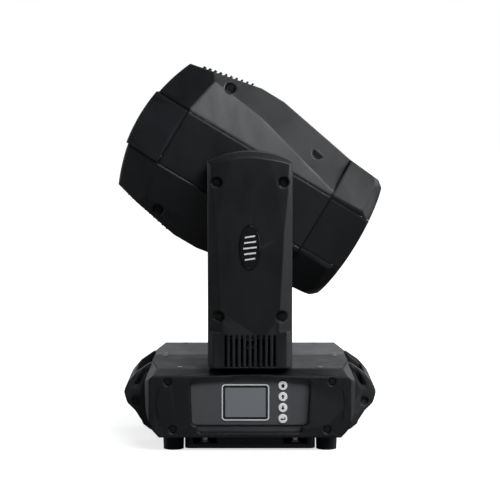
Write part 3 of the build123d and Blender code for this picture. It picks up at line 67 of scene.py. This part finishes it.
# ---------------------------------------------------------------- material helpers
class Shader:
    """A material with one Principled shader, and short ways to add the nodes that feed it."""

    def __init__(self, name, color, rough, metal=0.0, **sockets):
        self.material = bpy.data.materials.new(name)
        self.material.use_nodes = True
        self.tree = self.material.node_tree
        self.shader = self.tree.nodes["Principled BSDF"]
        self.coords = self.add("ShaderNodeTexCoord").outputs["Object"]
        self.set("Base Color", (*color, 1.0))
        self.set("Roughness", rough)
        self.set("Metallic", metal)
        for key, value in sockets.items():
            self.set(key.replace("_", " "), value)
        self.height = None

    def add(self, kind, **settings):
        node = self.tree.nodes.new(kind)
        for key, value in settings.items():
            setattr(node, key, value)
        return node

    def link(self, source, target):
        self.tree.links.new(source, target)

    def set(self, socket, value):
        self.shader.inputs[socket].default_value = value

    def noise(self, scale, detail=2.0, rough=0.5, stretch=None):
        """Noise in object space; scale is in features per metre."""
        node = self.add("ShaderNodeTexNoise")
        node.inputs["Scale"].default_value = scale
        node.inputs["Detail"].default_value = detail
        node.inputs["Roughness"].default_value = rough
        source = self.coords
        if stretch:
            mapping = self.add("ShaderNodeMapping")
            mapping.inputs["Scale"].default_value = stretch
            self.link(source, mapping.inputs["Vector"])
            source = mapping.outputs["Vector"]
        self.link(source, node.inputs["Vector"])
        return node.outputs["Fac"]

    def ramp(self, source, low, high, dark, light):
        """Maps source from low..high to the colours dark..light."""
        node = self.add("ShaderNodeValToRGB")
        first, last = node.color_ramp.elements
        first.position, last.position = low, high
        first.color, last.color = (*dark, 1.0), (*light, 1.0)
        self.link(source, node.inputs["Fac"])
        return node.outputs["Color"]

    def span(self, source, low, high, start, end):
        """Maps source from low..high to start..end."""
        node = self.add("ShaderNodeMapRange")
        for key, value in zip(("From Min", "From Max", "To Min", "To Max"), (low, high, start, end)):
            node.inputs[key].default_value = value
        self.link(source, node.inputs["Value"])
        return node.outputs["Result"]

    def mix(self, factor, first, second):
        """Mixes two colours; first and second are sockets or colours."""
        node = self.add("ShaderNodeMix", data_type="RGBA")
        self.link(factor, node.inputs[0])
        for value, socket in ((first, node.inputs[6]), (second, node.inputs[7])):
            if isinstance(value, tuple):
                socket.default_value = (*value, 1.0)
            else:
                self.link(value, socket)
        return node.outputs[2]

    def bump(self, source, depth, strength=1.0):
        """Adds relief; depth is in metres."""
        node = self.add("ShaderNodeBump")
        node.inputs["Distance"].default_value = depth
        node.inputs["Strength"].default_value = strength
        self.link(source, node.inputs["Height"])
        if self.height is not None:
            self.link(self.height, node.inputs["Normal"])
        self.height = node.outputs["Normal"]
        self.link(self.height, self.shader.inputs["Normal"])

    def painted_shade_mask(self, reach=0.010):
        """Painted shade mask: 1 on open surfaces, falling to 0 far into gaps, slots and screw pockets, where
        shade lies.
        """
        node = self.add("ShaderNodeAmbientOcclusion", samples=4)
        node.inputs["Distance"].default_value = reach
        return self.span(node.outputs["AO"], 0.25, 0.85, 0.0, 1.0)

    def soft_corners(self, radius):
        """Rounds the light over every corner, as a moulded edge does."""
        node = self.add("ShaderNodeBevel", samples=4)
        node.inputs["Radius"].default_value = radius
        self.height = node.outputs["Normal"]

    def zone(self, axis, low, high, start=0.0, end=1.0):
        """Runs from start to end as the object-space X, Y or Z goes from low to high, in metres."""
        node = self.add("ShaderNodeSeparateXYZ")
        self.link(self.coords, node.inputs[0])
        return self.span(node.outputs[axis], low, high, start, end)

    def edges(self, low=0.52, high=0.60):
        """Mask of the worn convex edges."""
        pointy = self.add("ShaderNodeNewGeometry").outputs["Pointiness"]
        return self.span(pointy, low, high, 0.0, 1.0)

    def tones(self, source, color, dark, light, low=0.35):
        """The colour made darker and lighter by these factors, as source goes from low to 0.7."""
        return self.ramp(source, low, 0.7, brighter(color, dark), brighter(color, light))

    def rough_patches(self, source, smooth, rough):
        """Roughness that wanders between two values with a noise."""
        self.link(self.span(source, 0.3, 0.7, smooth, rough), self.shader.inputs["Roughness"])

    def color(self, source):
        self.link(source, self.shader.inputs["Base Color"])

    def roughness(self, source):
        self.link(source, self.shader.inputs["Roughness"])


def brighter(color, factor):
    return tuple(min(1.0, channel * factor) for channel in color)


def moulded_plastic(name, color, rough, grain=0.04 * MM, edge=2.2, dust=0.35, corner=0.0, paint_hollow_shade=False, shine=0.5,
                    glow=0.0):
    """Injection moulded plastic: fine spark-eroded grain, faint tone patches, rubbed edges and settled dust.

    corner rounds the light over corners, and the hollow flag paints shade into gaps, slots and screw pockets.
    shine is the specular level, and glow is painted light: an emission that brightens a piece that is no lamp.
    """
    m = Shader(name, color, rough, IOR=1.5, Specular_IOR_Level=shine)
    # painted light: the emission brightens the piece though it is no lamp
    if glow:
        m.set("Emission Color", PAINTED_GLOW_WHITE)
        m.set("Emission Strength", glow)
    if corner:
        m.soft_corners(corner)
    tone = m.tones(m.noise(PATCHES, 4.0, 0.6), color, 0.86, 1.16)
    dusty = m.span(m.noise(SPECKS, 3.0, 0.7), 0.52, 0.78, 0.0, dust)
    tone = m.mix(dusty, tone, brighter(color, 1.8))
    tone = m.mix(m.edges(), tone, brighter(color, edge))
    # painted shade: the colour falls to a tenth in gaps, slots and screw pockets, where shade lies
    if paint_hollow_shade:
        tone = m.mix(m.painted_shade_mask(), brighter(color, 0.1), tone)
    m.color(tone)
    m.rough_patches(m.noise(SMUDGES, 5.0, 0.65, stretch=(1.0, 1.0, 0.5)), rough - 0.06, rough + 0.07)
    m.bump(m.noise(FINE_GRAIN, 2.0, 0.6), grain, 0.6)
    m.bump(m.noise(COARSE_GRAIN, 2.0, 0.5), grain * 0.6, 0.5)
    return m.material


def powder_coat(name, color, rough):
    """Powder coated sheet steel: orange peel and bright specks at the edges."""
    m = Shader(name, color, rough, IOR=1.5)
    tone = m.tones(m.noise(CLOUDS, 4.0, 0.6), color, 0.88, 1.14)
    m.color(m.mix(m.edges(), tone, brighter(color, 2.4)))
    m.rough_patches(m.noise(SHEEN, 4.0), rough - 0.05, rough + 0.08)
    m.bump(m.noise(ORANGE_PEEL, 3.0, 0.6), PEEL_DEPTH, 0.7)
    return m.material


def metal(name, color, rough, stretch=(1.0, 1.0, 30.0)):
    """Bare metal with fine machining lines."""
    m = Shader(name, color, rough, metal=1.0)
    lines = m.noise(TOOL_LINES, 3.0, 0.6, stretch=stretch)
    m.color(m.tones(lines, color, 0.8, 1.15, low=0.3))
    m.rough_patches(m.noise(80.0, 4.0), rough - 0.07, rough + 0.1)
    m.bump(lines, 0.03 * MM, 0.5)
    return m.material


def rubber(name, color):
    """Black rubber with a dusty bloom."""
    m = Shader(name, color, 0.75, IOR=1.45)
    bloom = m.noise(60.0, 5.0, 0.7)
    m.color(m.ramp(bloom, 0.4, 0.75, color, brighter(color, 2.2)))
    m.rough_patches(bloom, 0.65, 0.9)
    m.bump(m.noise(900.0, 2.0), 0.06 * MM, 0.7)
    return m.material


def glass(name, tint, coat=0.0):
    """Optical glass with a few dust specks. coat is the thickness of an anti-reflection film, in nanometres."""
    m = Shader(name, tint, GLASS_ROUGH, IOR=1.5, Transmission_Weight=0.92)
    if coat:
        m.set("IOR", 1.52)
        m.set("Thin Film Thickness", coat)
        m.set("Thin Film IOR", 1.38)
    specks = m.noise(500.0, 2.0, 0.6)
    m.roughness(m.span(specks, 0.6, 0.8, GLASS_ROUGH, GLASS_ROUGH + 0.12))
    m.bump(m.noise(30.0, 1.0), 0.02 * MM, 0.15)
    return m.material


def plate_paint():
    """Painted top plates; the front one has painted shade, darker and less glossy, up to the joint at the pan
    axis.
    """
    m = Shader("plate_paint", PLATE_REAR, 0.42, IOR=1.5)
    tone = m.tones(m.noise(CLOUDS, 4.0, 0.6), PLATE_REAR, 0.88, 1.14)
    # painted shade: the front plate's colour darkens, for the darker light it shows
    tone = m.mix(m.zone("Y", -JOINT_BLUR, JOINT_BLUR), PLATE_FRONT_PAINTED_SHADE, tone)
    m.color(m.mix(m.edges(), tone, brighter(PLATE_REAR, 2.0)))
    m.link(m.zone("Y", -JOINT_BLUR, JOINT_BLUR, 0.05, 0.5), m.shader.inputs["Specular IOR Level"])
    m.rough_patches(m.noise(SHEEN, 4.0), 0.36, 0.5)
    m.bump(m.noise(ORANGE_PEEL, 3.0, 0.6), PEEL_DEPTH, 0.7)
    return m.material


def casing_screws():
    """Bright screws in the top plates, blackened ones in the covers' recesses."""
    m = Shader("casing_screws", DARK_STEEL, 0.3, metal=1.0)
    lines = m.noise(400.0, 3.0, 0.6)
    tone = m.mix(m.zone("Z", PLATE_TOP - 1.5 * MM, PLATE_TOP - 0.5 * MM), DARK_STEEL, (0.62, 0.62, 0.63))
    m.color(m.mix(m.span(lines, 0.3, 0.7, 0.0, 0.5), tone, (0.03, 0.03, 0.03)))
    m.rough_patches(m.noise(80.0, 4.0), 0.22, 0.4)
    m.bump(lines, 0.03 * MM, 0.5)
    return m.material


def screen_material():
    """The unlit display: grey glass with a fine pixel texture under a clear coat."""
    m = Shader("screen_glass", (0.30, 0.31, 0.33), 0.16, Coat_Weight=0.6, Coat_Roughness=0.05)
    m.color(m.ramp(m.noise(2500.0, 1.0), 0.3, 0.7, (0.27, 0.28, 0.30), (0.34, 0.35, 0.37)))
    return m.material


M = {
    "cover": moulded_plastic("casing_plastic", (0.0125, 0.0132, 0.0148), 0.40, corner=5.0 * MM, paint_hollow_shade=True),
    "arm": moulded_plastic("arm_plastic", (0.0120, 0.0128, 0.0140), 0.43, corner=3.0 * MM, paint_hollow_shade=True),
    # painted light: the handles' lighter colour stands in for the light they catch; they are the covers' black
    # plastic
    "handle": moulded_plastic("handle_plastic", (0.034, 0.035, 0.037), 0.42, grain=0.07 * MM, edge=1.8,
                              corner=10.0 * MM, paint_hollow_shade=True),
    "bezel": moulded_plastic("bezel_plastic", (0.0105, 0.0108, 0.0115), 0.46, corner=5.0 * MM, paint_hollow_shade=True,
                             shine=0.3),
    "fascia": moulded_plastic("fascia_plastic", (0.080, 0.083, 0.086), 0.42, grain=0.03 * MM, edge=1.5),
    "emblem": moulded_plastic("emblem_gloss", (0.010, 0.0105, 0.0115), 0.22, grain=0.01 * MM, edge=1.6),
    "plate": plate_paint(),
    "tray": powder_coat("tray_paint", (0.014, 0.0143, 0.015), 0.45),
    "foot": rubber("foot_rubber", (0.012, 0.012, 0.012)),
    "belt": rubber("belt_rubber", (0.010, 0.010, 0.010)),
    "zinc": metal("zinc_plate", (0.62, 0.62, 0.63), 0.28),
    "dark_screw": metal("blackened_screw", (0.06, 0.06, 0.065), 0.35),
    "casing_screw": casing_screws(),
    "machined": metal("machined_aluminium", (0.72, 0.72, 0.73), 0.3),
    # painted light: the button caps glow though they are no lamps
    "button": moulded_plastic("button_cap_painted_glow", (0.95, 0.95, 0.94), 0.3, grain=0.01 * MM, edge=1.0, dust=0.0,
                              glow=0.22),
    "icon": moulded_plastic("icon_print", (0.02, 0.02, 0.022), 0.45, grain=0.01 * MM, edge=1.0, dust=0.0),
    # painted light: the white print glows though it is no lamp
    "white_print_painted_glow": moulded_plastic("white_print_painted_glow", (0.95, 0.95, 0.95), 0.4, grain=0.01 * MM, edge=1.0, dust=0.0,
                                   glow=0.10),
    "status_lamp": moulded_plastic("status_lamp", (0.35, 0.42, 0.36), 0.12, grain=0.005 * MM, edge=1.0, dust=0.0),
    "glass": glass("lens_glass", (0.93, 0.96, 1.0)),
    "front_glass": glass("front_glass", (0.90, 0.94, 1.0), coat=330.0),
    "mirror": metal("reflector_mirror", (0.92, 0.92, 0.93), 0.08),
    "board": moulded_plastic("circuit_board", (0.01, 0.10, 0.04), 0.35, edge=1.2),
    "insulator": moulded_plastic("socket_plastic", (0.012, 0.012, 0.012), 0.5),
    "screen": screen_material(),
}

FINISH = {
    "cover": ("base_front_cover", "base_rear_cover", "base_side_covers", "yoke_bridge_cover", "head_cover_upper",
              "head_cover_lower", "head_side_panels", "rear_grille"),
    "bezel": ("front_bezel",),
    "arm": ("arm_cover_front", "arm_cover_rear", "arm_inner_covers"),
    "emblem": ("arm_badges",),
    "handle": ("handle_left", "handle_right"),
    "fascia": ("display_panel",),
    "screen": ("display_screen",),
    "plate": ("base_top_plates",),
    "tray": ("base_chassis", "pan_bracket", "yoke_frame", "head_chassis", "connector_panel", "power_supply",
             "lamp_ballast", "safety_anchor", "pan_motor", "tilt_motor"),
    "foot": ("rubber_feet",),
    "belt": ("pan_belt", "tilt_belt"),
    "zinc": ("quarter_turn_receptacles", "pan_bearing", "tilt_bearings"),
    "casing_screw": ("base_screws",),
    "dark_screw": ("arm_screws",),
    "machined": ("pan_post", "pan_pulley", "tilt_pulley", "pan_motor_pulley", "tilt_motor_pulley", "tilt_shafts",
                 "focus_carriage", "gobo_wheel"),
    "button": ("button_home", "button_up", "button_down", "button_enter"),
    "glass": ("prism", "color_wheel", "discharge_lamp"),
    "front_glass": ("front_lens",),
    "mirror": ("lamp_reflector",),
    "board": ("display_board", "control_board"),
    "insulator": ("power_inlet", "data_sockets", "head_fan_frame", "head_fan_rotor"),
}
for finish, names in FINISH.items():
    for name in names:
        mesh = NODES[name].data
        mesh.materials.clear()
        mesh.materials.append(M[finish])


WELD_GAP = 0.02 * MM
FLAT_ANGLE = 0.6            # faces that turn by less are one flat face, in degrees
SHARP_ANGLE = 20.0          # edges that turn by more are rounded, in degrees
CASING_ROUND = 1.4 * MM
HANDLE_ROUND = 2.4 * MM
HANDLES = ("handle_left", "handle_right")
CASINGS = ("base_front_cover", "base_rear_cover", "base_side_covers", "yoke_bridge_cover", "head_cover_upper",
           "head_cover_lower", "head_side_panels", "front_bezel", "arm_cover_front", "arm_cover_rear",
           "arm_inner_covers")


def soften(name, width):
    """Rounds a CAD part's sharp edges for the light to catch: flat faces are merged first, so each stays flat."""
    node = NODES[name]
    weld = node.modifiers.new("weld", "WELD")
    weld.merge_threshold = WELD_GAP
    merge = node.modifiers.new("merge", "DECIMATE")
    merge.decimate_type = "DISSOLVE"
    merge.angle_limit = radians(FLAT_ANGLE)
    bevel = node.modifiers.new("bevel", "BEVEL")
    bevel.width = width
    bevel.segments = 3
    bevel.limit_method = "ANGLE"
    bevel.angle_limit = radians(SHARP_ANGLE)
    bevel.use_clamp_overlap = True
    normals = node.modifiers.new("normals", "WEIGHTED_NORMAL")
    normals.mode = "FACE_AREA"
    normals.weight = 100
    normals.keep_sharp = False


for name in CASINGS:
    soften(name, CASING_ROUND)
for name in HANDLES:
    soften(name, HANDLE_ROUND)


# ---------------------------------------------------------------- fine pieces, built as meshes, in millimetres
def arc_point(x, z, radius, turn):
    """Point (x, z) on a circle, with turn as a share of pi."""
    return x + radius * cos(turn * pi), z + radius * sin(turn * pi)


def rounded_box(x0, x1, z0, z1, radius, steps=6):
    """Outline (x, z) of a rectangle with round corners."""
    left = x0 + radius
    right = x1 - radius
    low = z0 + radius
    high = z1 - radius
    corners = ((right, high, 0.0), (left, high, 0.5), (left, low, 1.0), (right, low, 1.5))
    return [arc_point(x, z, radius, start + 0.5 * step / steps)
            for x, z, start in corners for step in range(steps + 1)]


def oval(x, z, half_x, half_z, count=48):
    """Outline (x, z) of an ellipse."""
    turns = [2.0 * pi * number / count for number in range(count)]
    return [(x + half_x * cos(turn), z + half_z * sin(turn)) for turn in turns]


def slab(bm, outline, front, back, hole=None):
    """Upright plate between two depths; with a hole of as many points it is a frame."""
    loops = [[bm.verts.new((x * MM, y * MM, z * MM)) for x, z in line]
             for line in (outline, hole or outline) for y in (front, back)]
    near, far, hole_near, hole_far = loops
    pairs = [(near, far)]
    if hole:
        pairs += [(hole_far, hole_near), (hole_near, near), (far, hole_far)]
    for first, second in pairs:
        for a in range(len(first)):
            b = (a + 1) % len(first)
            bm.faces.new((first[a], first[b], second[b], second[a]))
    if not hole:
        bm.faces.new(near)
        bm.faces.new(far)


def turned(bm, place, axis, profile, count=32):
    """Body of revolution: profile is (radius, height) pairs along axis from place."""
    way = Vector(axis).normalized()
    across = way.orthogonal().normalized()
    other = way.cross(across)
    spokes = [2.0 * pi * number / count for number in range(count)]
    rings = []
    for radius, height in profile:
        centre = Vector(place) + way * height
        points = [centre + (across * cos(a) + other * sin(a)) * radius for a in spokes]
        rings.append([bm.verts.new(point * MM) for point in points])
    for low, high in zip(rings, rings[1:]):
        for a in range(count):
            b = (a + 1) % count
            bm.faces.new((low[a], low[b], high[b], high[a]))
    bm.faces.new(rings[-1])


def made(name, bm, finish, body, bevel=0.0):
    """Turns mesh code into a piece that rides on a body."""
    bmesh.ops.remove_doubles(bm, verts=bm.verts, dist=0.002 * MM)
    bmesh.ops.recalc_face_normals(bm, faces=bm.faces)
    mesh = bpy.data.meshes.new(name)
    bm.to_mesh(mesh)
    bm.free()
    mesh.materials.append(M[finish])
    piece = bpy.data.objects.new(name, mesh)
    bpy.context.scene.collection.objects.link(piece)
    if bevel:
        soft = piece.modifiers.new("bevel", "BEVEL")
        soft.width = bevel * MM
        soft.segments = 2
        soft.limit_method = "ANGLE"
    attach(piece, body)
    return piece


def millimetres(node):
    """Lowest and highest corner of a CAD node, in millimetres."""
    low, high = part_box(node)
    return Vector(low) / MM, Vector(high) / MM


FRONTWARDS = (0, -1, 0)
ROOT = 0.3                  # how far a printed piece reaches into the surface that carries it
PANEL_FACE = millimetres("display_panel")[0].y

WINDOW_EDGE = 0.4           # the print starts this far inside the window's edge
WINDOW_CORNER = 4.4
BORDER_LINE = 1.5           # width of the white border
BORDER_CORNER = 3.2         # its inner corner radius
ACTIVE_INSET = 4.6          # from the print's edge to the active area
ACTIVE_CORNER = 0.8


def window_outline(way, corner):
    """Outline of the display window's print, drawn in by way."""
    low, high = millimetres("display_screen")
    way += WINDOW_EDGE
    return rounded_box(low.x + way, high.x - way, low.z + way, high.z - way, corner)


def screen_print():
    """White border, dark mask and grey active area on the display window."""
    face = millimetres("display_screen")[0].y
    outer = window_outline(0.0, WINDOW_CORNER)
    middle = window_outline(BORDER_LINE, BORDER_CORNER)
    inner = window_outline(ACTIVE_INSET, ACTIVE_CORNER)
    for name, finish, outline, proud, hole in (("screen_border", "white_print_painted_glow", outer, 0.10, middle),
                                               ("screen_mask", "icon", middle, 0.05, inner),
                                               ("screen_active_area", "screen", inner, 0.03, None)):
        bm = bmesh.new()
        slab(bm, outline, face - proud, face + ROOT, hole)
        made(name, bm, finish, "base")


# Signs on the button caps, as outlines (x, z) about the cap's middle
ARROW = ((-2.7, 0.2), (0.0, 3.1), (2.7, 0.2), (1.1, 0.2), (1.1, -2.8), (-1.1, -2.8), (-1.1, 0.2))
SIGNS = {
    "home": ((-3.0, 0.2), (0.0, 3.0), (3.0, 0.2), (1.9, 0.2), (1.9, -2.6), (-1.9, -2.6), (-1.9, 0.2)),
    "up": ARROW,
    "down": tuple((x, -z) for x, z in ARROW),
    "enter": ((-3.4, -0.6), (-0.8, 1.7), (-0.8, 0.2), (1.9, 0.2), (1.9, 2.2), (3.3, 2.2), (3.3, -1.4),
              (-0.8, -1.4), (-0.8, -2.9)),
}


def button_signs():
    """A printed sign on each cap, which moves with its button."""
    for sign, outline in SIGNS.items():
        low, high = millimetres("button_" + sign)
        middle = (low + high) / 2.0
        bm = bmesh.new()
        slab(bm, [(middle.x + x, middle.z + z) for x, z in outline], low.y - 0.06, low.y + 0.4)
        made("sign_" + sign, bm, "icon", "button_" + sign)


def recess_shade_patch():
    """Painted shade: a flat dark half-round patch above the first button, standing in for a shaded recess."""
    low, high = millimetres("button_home")
    bm = bmesh.new()
    slab(bm, oval((low.x + high.x) / 2.0, high.z + 0.2, 3.3, 2.6, 24), PANEL_FACE - 0.08, PANEL_FACE + ROOT)
    made("recess_shade_patch", bm, "icon", "base")


LAMP_X = (14.0, 21.4)
LAMP_Z = 96.8
LAMP_R = 1.25
LAMP_RISE = 0.7
COLLAR_PROFILE = ((1.9, -0.6), (1.9, 0.15), (1.7, 0.3), (1.3, 0.3), (1.3, -0.2))
DOME_STEPS = 6


def status_lamps():
    """A collar and a small dome for each status lamp."""
    dome = [(LAMP_R, -0.6)]
    for step in range(DOME_STEPS):
        rise = 0.5 * pi * step / DOME_STEPS
        dome.append((LAMP_R * cos(rise), LAMP_RISE * sin(rise)))
    for number, x in enumerate(LAMP_X, 1):
        place = (x, PANEL_FACE, LAMP_Z)
        bm = bmesh.new()
        turned(bm, place, FRONTWARDS, COLLAR_PROFILE)
        made("status_collar_%d" % number, bm, "icon", "base")
        bm = bmesh.new()
        turned(bm, place, FRONTWARDS, dome)
        made("status_lamp_%d" % number, bm, "status_lamp", "base")


BADGE_ROOT = 0.2            # how far the rim and bars reach into the badge
RIM_PROUD = 0.7
RIM_EDGE = 0.3              # the rim's outer and inner outlines, from the badge's edge
RIM_INNER = 1.5
BAR_PROUD = 0.25
BAR_PITCH = 7.4
BAR_EDGE = 4.6              # from the badge's edge to the end of the middle bar
BAR_TAPER = 1.1             # each further bar ends this much sooner


def badges():
    """Raised rim round each oval badge, with five plain slanting bars that stand for no maker."""
    low, high = millimetres("arm_badges")
    middle_z = (low.z + high.z) / 2.0
    half_x = (high.x - low.x) / 2.0
    half_z = (high.z - low.z) / 2.0
    for number, (face, way) in enumerate(((low.y, -1.0), (high.y, 1.0)), 1):
        back = face - way * BADGE_ROOT
        bm = bmesh.new()
        slab(bm, oval(0.0, middle_z, half_x - RIM_EDGE, half_z - RIM_EDGE), face + way * RIM_PROUD, back,
             oval(0.0, middle_z, half_x - RIM_INNER, half_z - RIM_INNER))
        made("badge_rim_%d" % number, bm, "emblem", "yoke", bevel=0.3)
        bm = bmesh.new()
        for step in (-2, -1, 0, 1, 2):
            wide = half_x - BAR_EDGE - BAR_TAPER * abs(step)
            z = middle_z + BAR_PITCH * step
            bar = [(-wide, z - 2.6), (wide, z - 0.6), (wide, z + 1.4), (-wide, z - 0.6)]
            slab(bm, bar, face + way * BAR_PROUD, back)
        made("badge_bars_%d" % number, bm, "white_print_painted_glow", "yoke")


screen_print()
button_signs()
recess_shade_patch()
status_lamps()
badges()

# ---------------------------------------------------------------- studio
FLOOR_GLOW = 0.72           # the floor's own light near the object, seen by the camera only
FLOOR_NEAR = 0.35           # from this far out it grows
FLOOR_FAR = 1.2             # to full white here
FLOOR_BOUNCE = (0.15, 0.15, 0.155)      # what the floor throws back at the object
ROOM_DIM = 0.03             # strength of the room in front of the object
ROOM_BRIGHT = 0.5           # and of the backdrop behind it


def floor_material():
    """Pale floor: near white to the camera, and dark in what it throws back at the object."""
    m = Shader("floor_paint", (0.8, 0.8, 0.8), 0.7)
    seen = m.add("ShaderNodeLightPath").outputs["Is Camera Ray"]
    paint = m.ramp(m.noise(2.0, 3.0), 0.3, 0.7, (0.78, 0.78, 0.78), (0.82, 0.82, 0.82))
    m.color(m.mix(seen, FLOOR_BOUNCE, paint))
    m.set("Emission Color", (1.0, 1.0, 1.0, 1.0))
    radius = m.add("ShaderNodeVectorMath", operation="LENGTH")
    m.link(m.coords, radius.inputs[0])
    glow = m.add("ShaderNodeMath", operation="MULTIPLY")
    m.link(seen, glow.inputs[0])
    m.link(m.span(radius.outputs["Value"], FLOOR_NEAR, FLOOR_FAR, FLOOR_GLOW, 1.0), glow.inputs[1])
    m.link(glow.outputs[0], m.shader.inputs["Emission Strength"])
    return m.material


def studio_floor():
    """A wide flat floor under the feet."""
    mesh = bpy.data.meshes.new("floor")
    bm = bmesh.new()
    bmesh.ops.create_grid(bm, x_segments=1, y_segments=1, size=12.0)
    bm.to_mesh(mesh)
    bm.free()
    mesh.materials.append(floor_material())
    floor = bpy.data.objects.new("floor", mesh)
    bpy.context.scene.collection.objects.link(floor)


def area_light(name, place, height, size, power, color=(1.0, 1.0, 1.0)):
    """A soft box that points at the pan axis, at a height above the floor."""
    data = bpy.data.lights.new(name, "AREA")
    data.shape = "RECTANGLE"
    data.size, data.size_y = size
    data.energy = power
    data.color = color
    light = bpy.data.objects.new(name, data)
    light.location = place
    light.rotation_euler = (Vector((0.0, 0.0, height)) - Vector(place)).to_track_quat("-Z", "Y").to_euler()
    bpy.context.scene.collection.objects.link(light)


def studio_world():
    """Pure white to the camera; for the light that falls on the object, a white backdrop behind it only."""
    world = bpy.data.worlds.new("studio")
    world.use_nodes = True
    tree = world.node_tree
    tree.nodes.clear()
    coords = tree.nodes.new("ShaderNodeTexCoord")
    split = tree.nodes.new("ShaderNodeSeparateXYZ")
    fade = tree.nodes.new("ShaderNodeMapRange")
    for key, value in zip(("From Min", "From Max", "To Min", "To Max"), (0.1, 0.8, ROOM_DIM, ROOM_BRIGHT)):
        fade.inputs[key].default_value = value
    soft = tree.nodes.new("ShaderNodeBackground")
    soft.inputs["Color"].default_value = (0.92, 0.95, 1.0, 1.0)
    white = tree.nodes.new("ShaderNodeBackground")
    white.inputs["Color"].default_value = (1.0, 1.0, 1.0, 1.0)
    path = tree.nodes.new("ShaderNodeLightPath")
    blend = tree.nodes.new("ShaderNodeMixShader")
    out = tree.nodes.new("ShaderNodeOutputWorld")
    tree.links.new(coords.outputs["Generated"], split.inputs[0])
    tree.links.new(split.outputs["Y"], fade.inputs["Value"])
    tree.links.new(fade.outputs["Result"], soft.inputs["Strength"])
    tree.links.new(path.outputs["Is Camera Ray"], blend.inputs[0])
    tree.links.new(soft.outputs[0], blend.inputs[1])
    tree.links.new(white.outputs[0], blend.inputs[2])
    tree.links.new(blend.outputs[0], out.inputs[0])
    bpy.context.scene.world = world


CAMERA_PLACE = (0.0, -2.474, 0.474)
CAMERA_FALL = 5.02          # the camera looks down by this, in degrees
CAMERA_LENS = 127.8
CAMERA_SENSOR = 36.0


def studio_camera():
    """A long lens, nearly square to the display."""
    data = bpy.data.cameras.new("camera")
    data.lens = CAMERA_LENS
    data.sensor_width = CAMERA_SENSOR
    camera = bpy.data.objects.new("camera", data)
    camera.location = CAMERA_PLACE
    camera.rotation_euler = (radians(90.0 - CAMERA_FALL), 0.0, 0.0)
    bpy.context.scene.collection.objects.link(camera)
    bpy.context.scene.camera = camera


studio_floor()
area_light("key", (0.85, -1.25, 1.5), 0.35, (1.5, 0.6), 27.0, (0.94, 0.975, 1.0))
area_light("top", (0.0, 1.3, 2.2), 0.2, (1.6, 0.8), 9.0)
area_light("left", (-2.2, 0.9, 0.6), 0.2, (0.6, 1.4), 12.0)
area_light("right", (1.7, 0.9, 1.5), 0.35, (0.8, 1.4), 20.0)
area_light("side", (2.5, -0.1, 0.4), 0.2, (0.5, 1.4), 14.0)
studio_world()
studio_camera()
bpy.context.scene.view_settings.view_transform = "Standard"
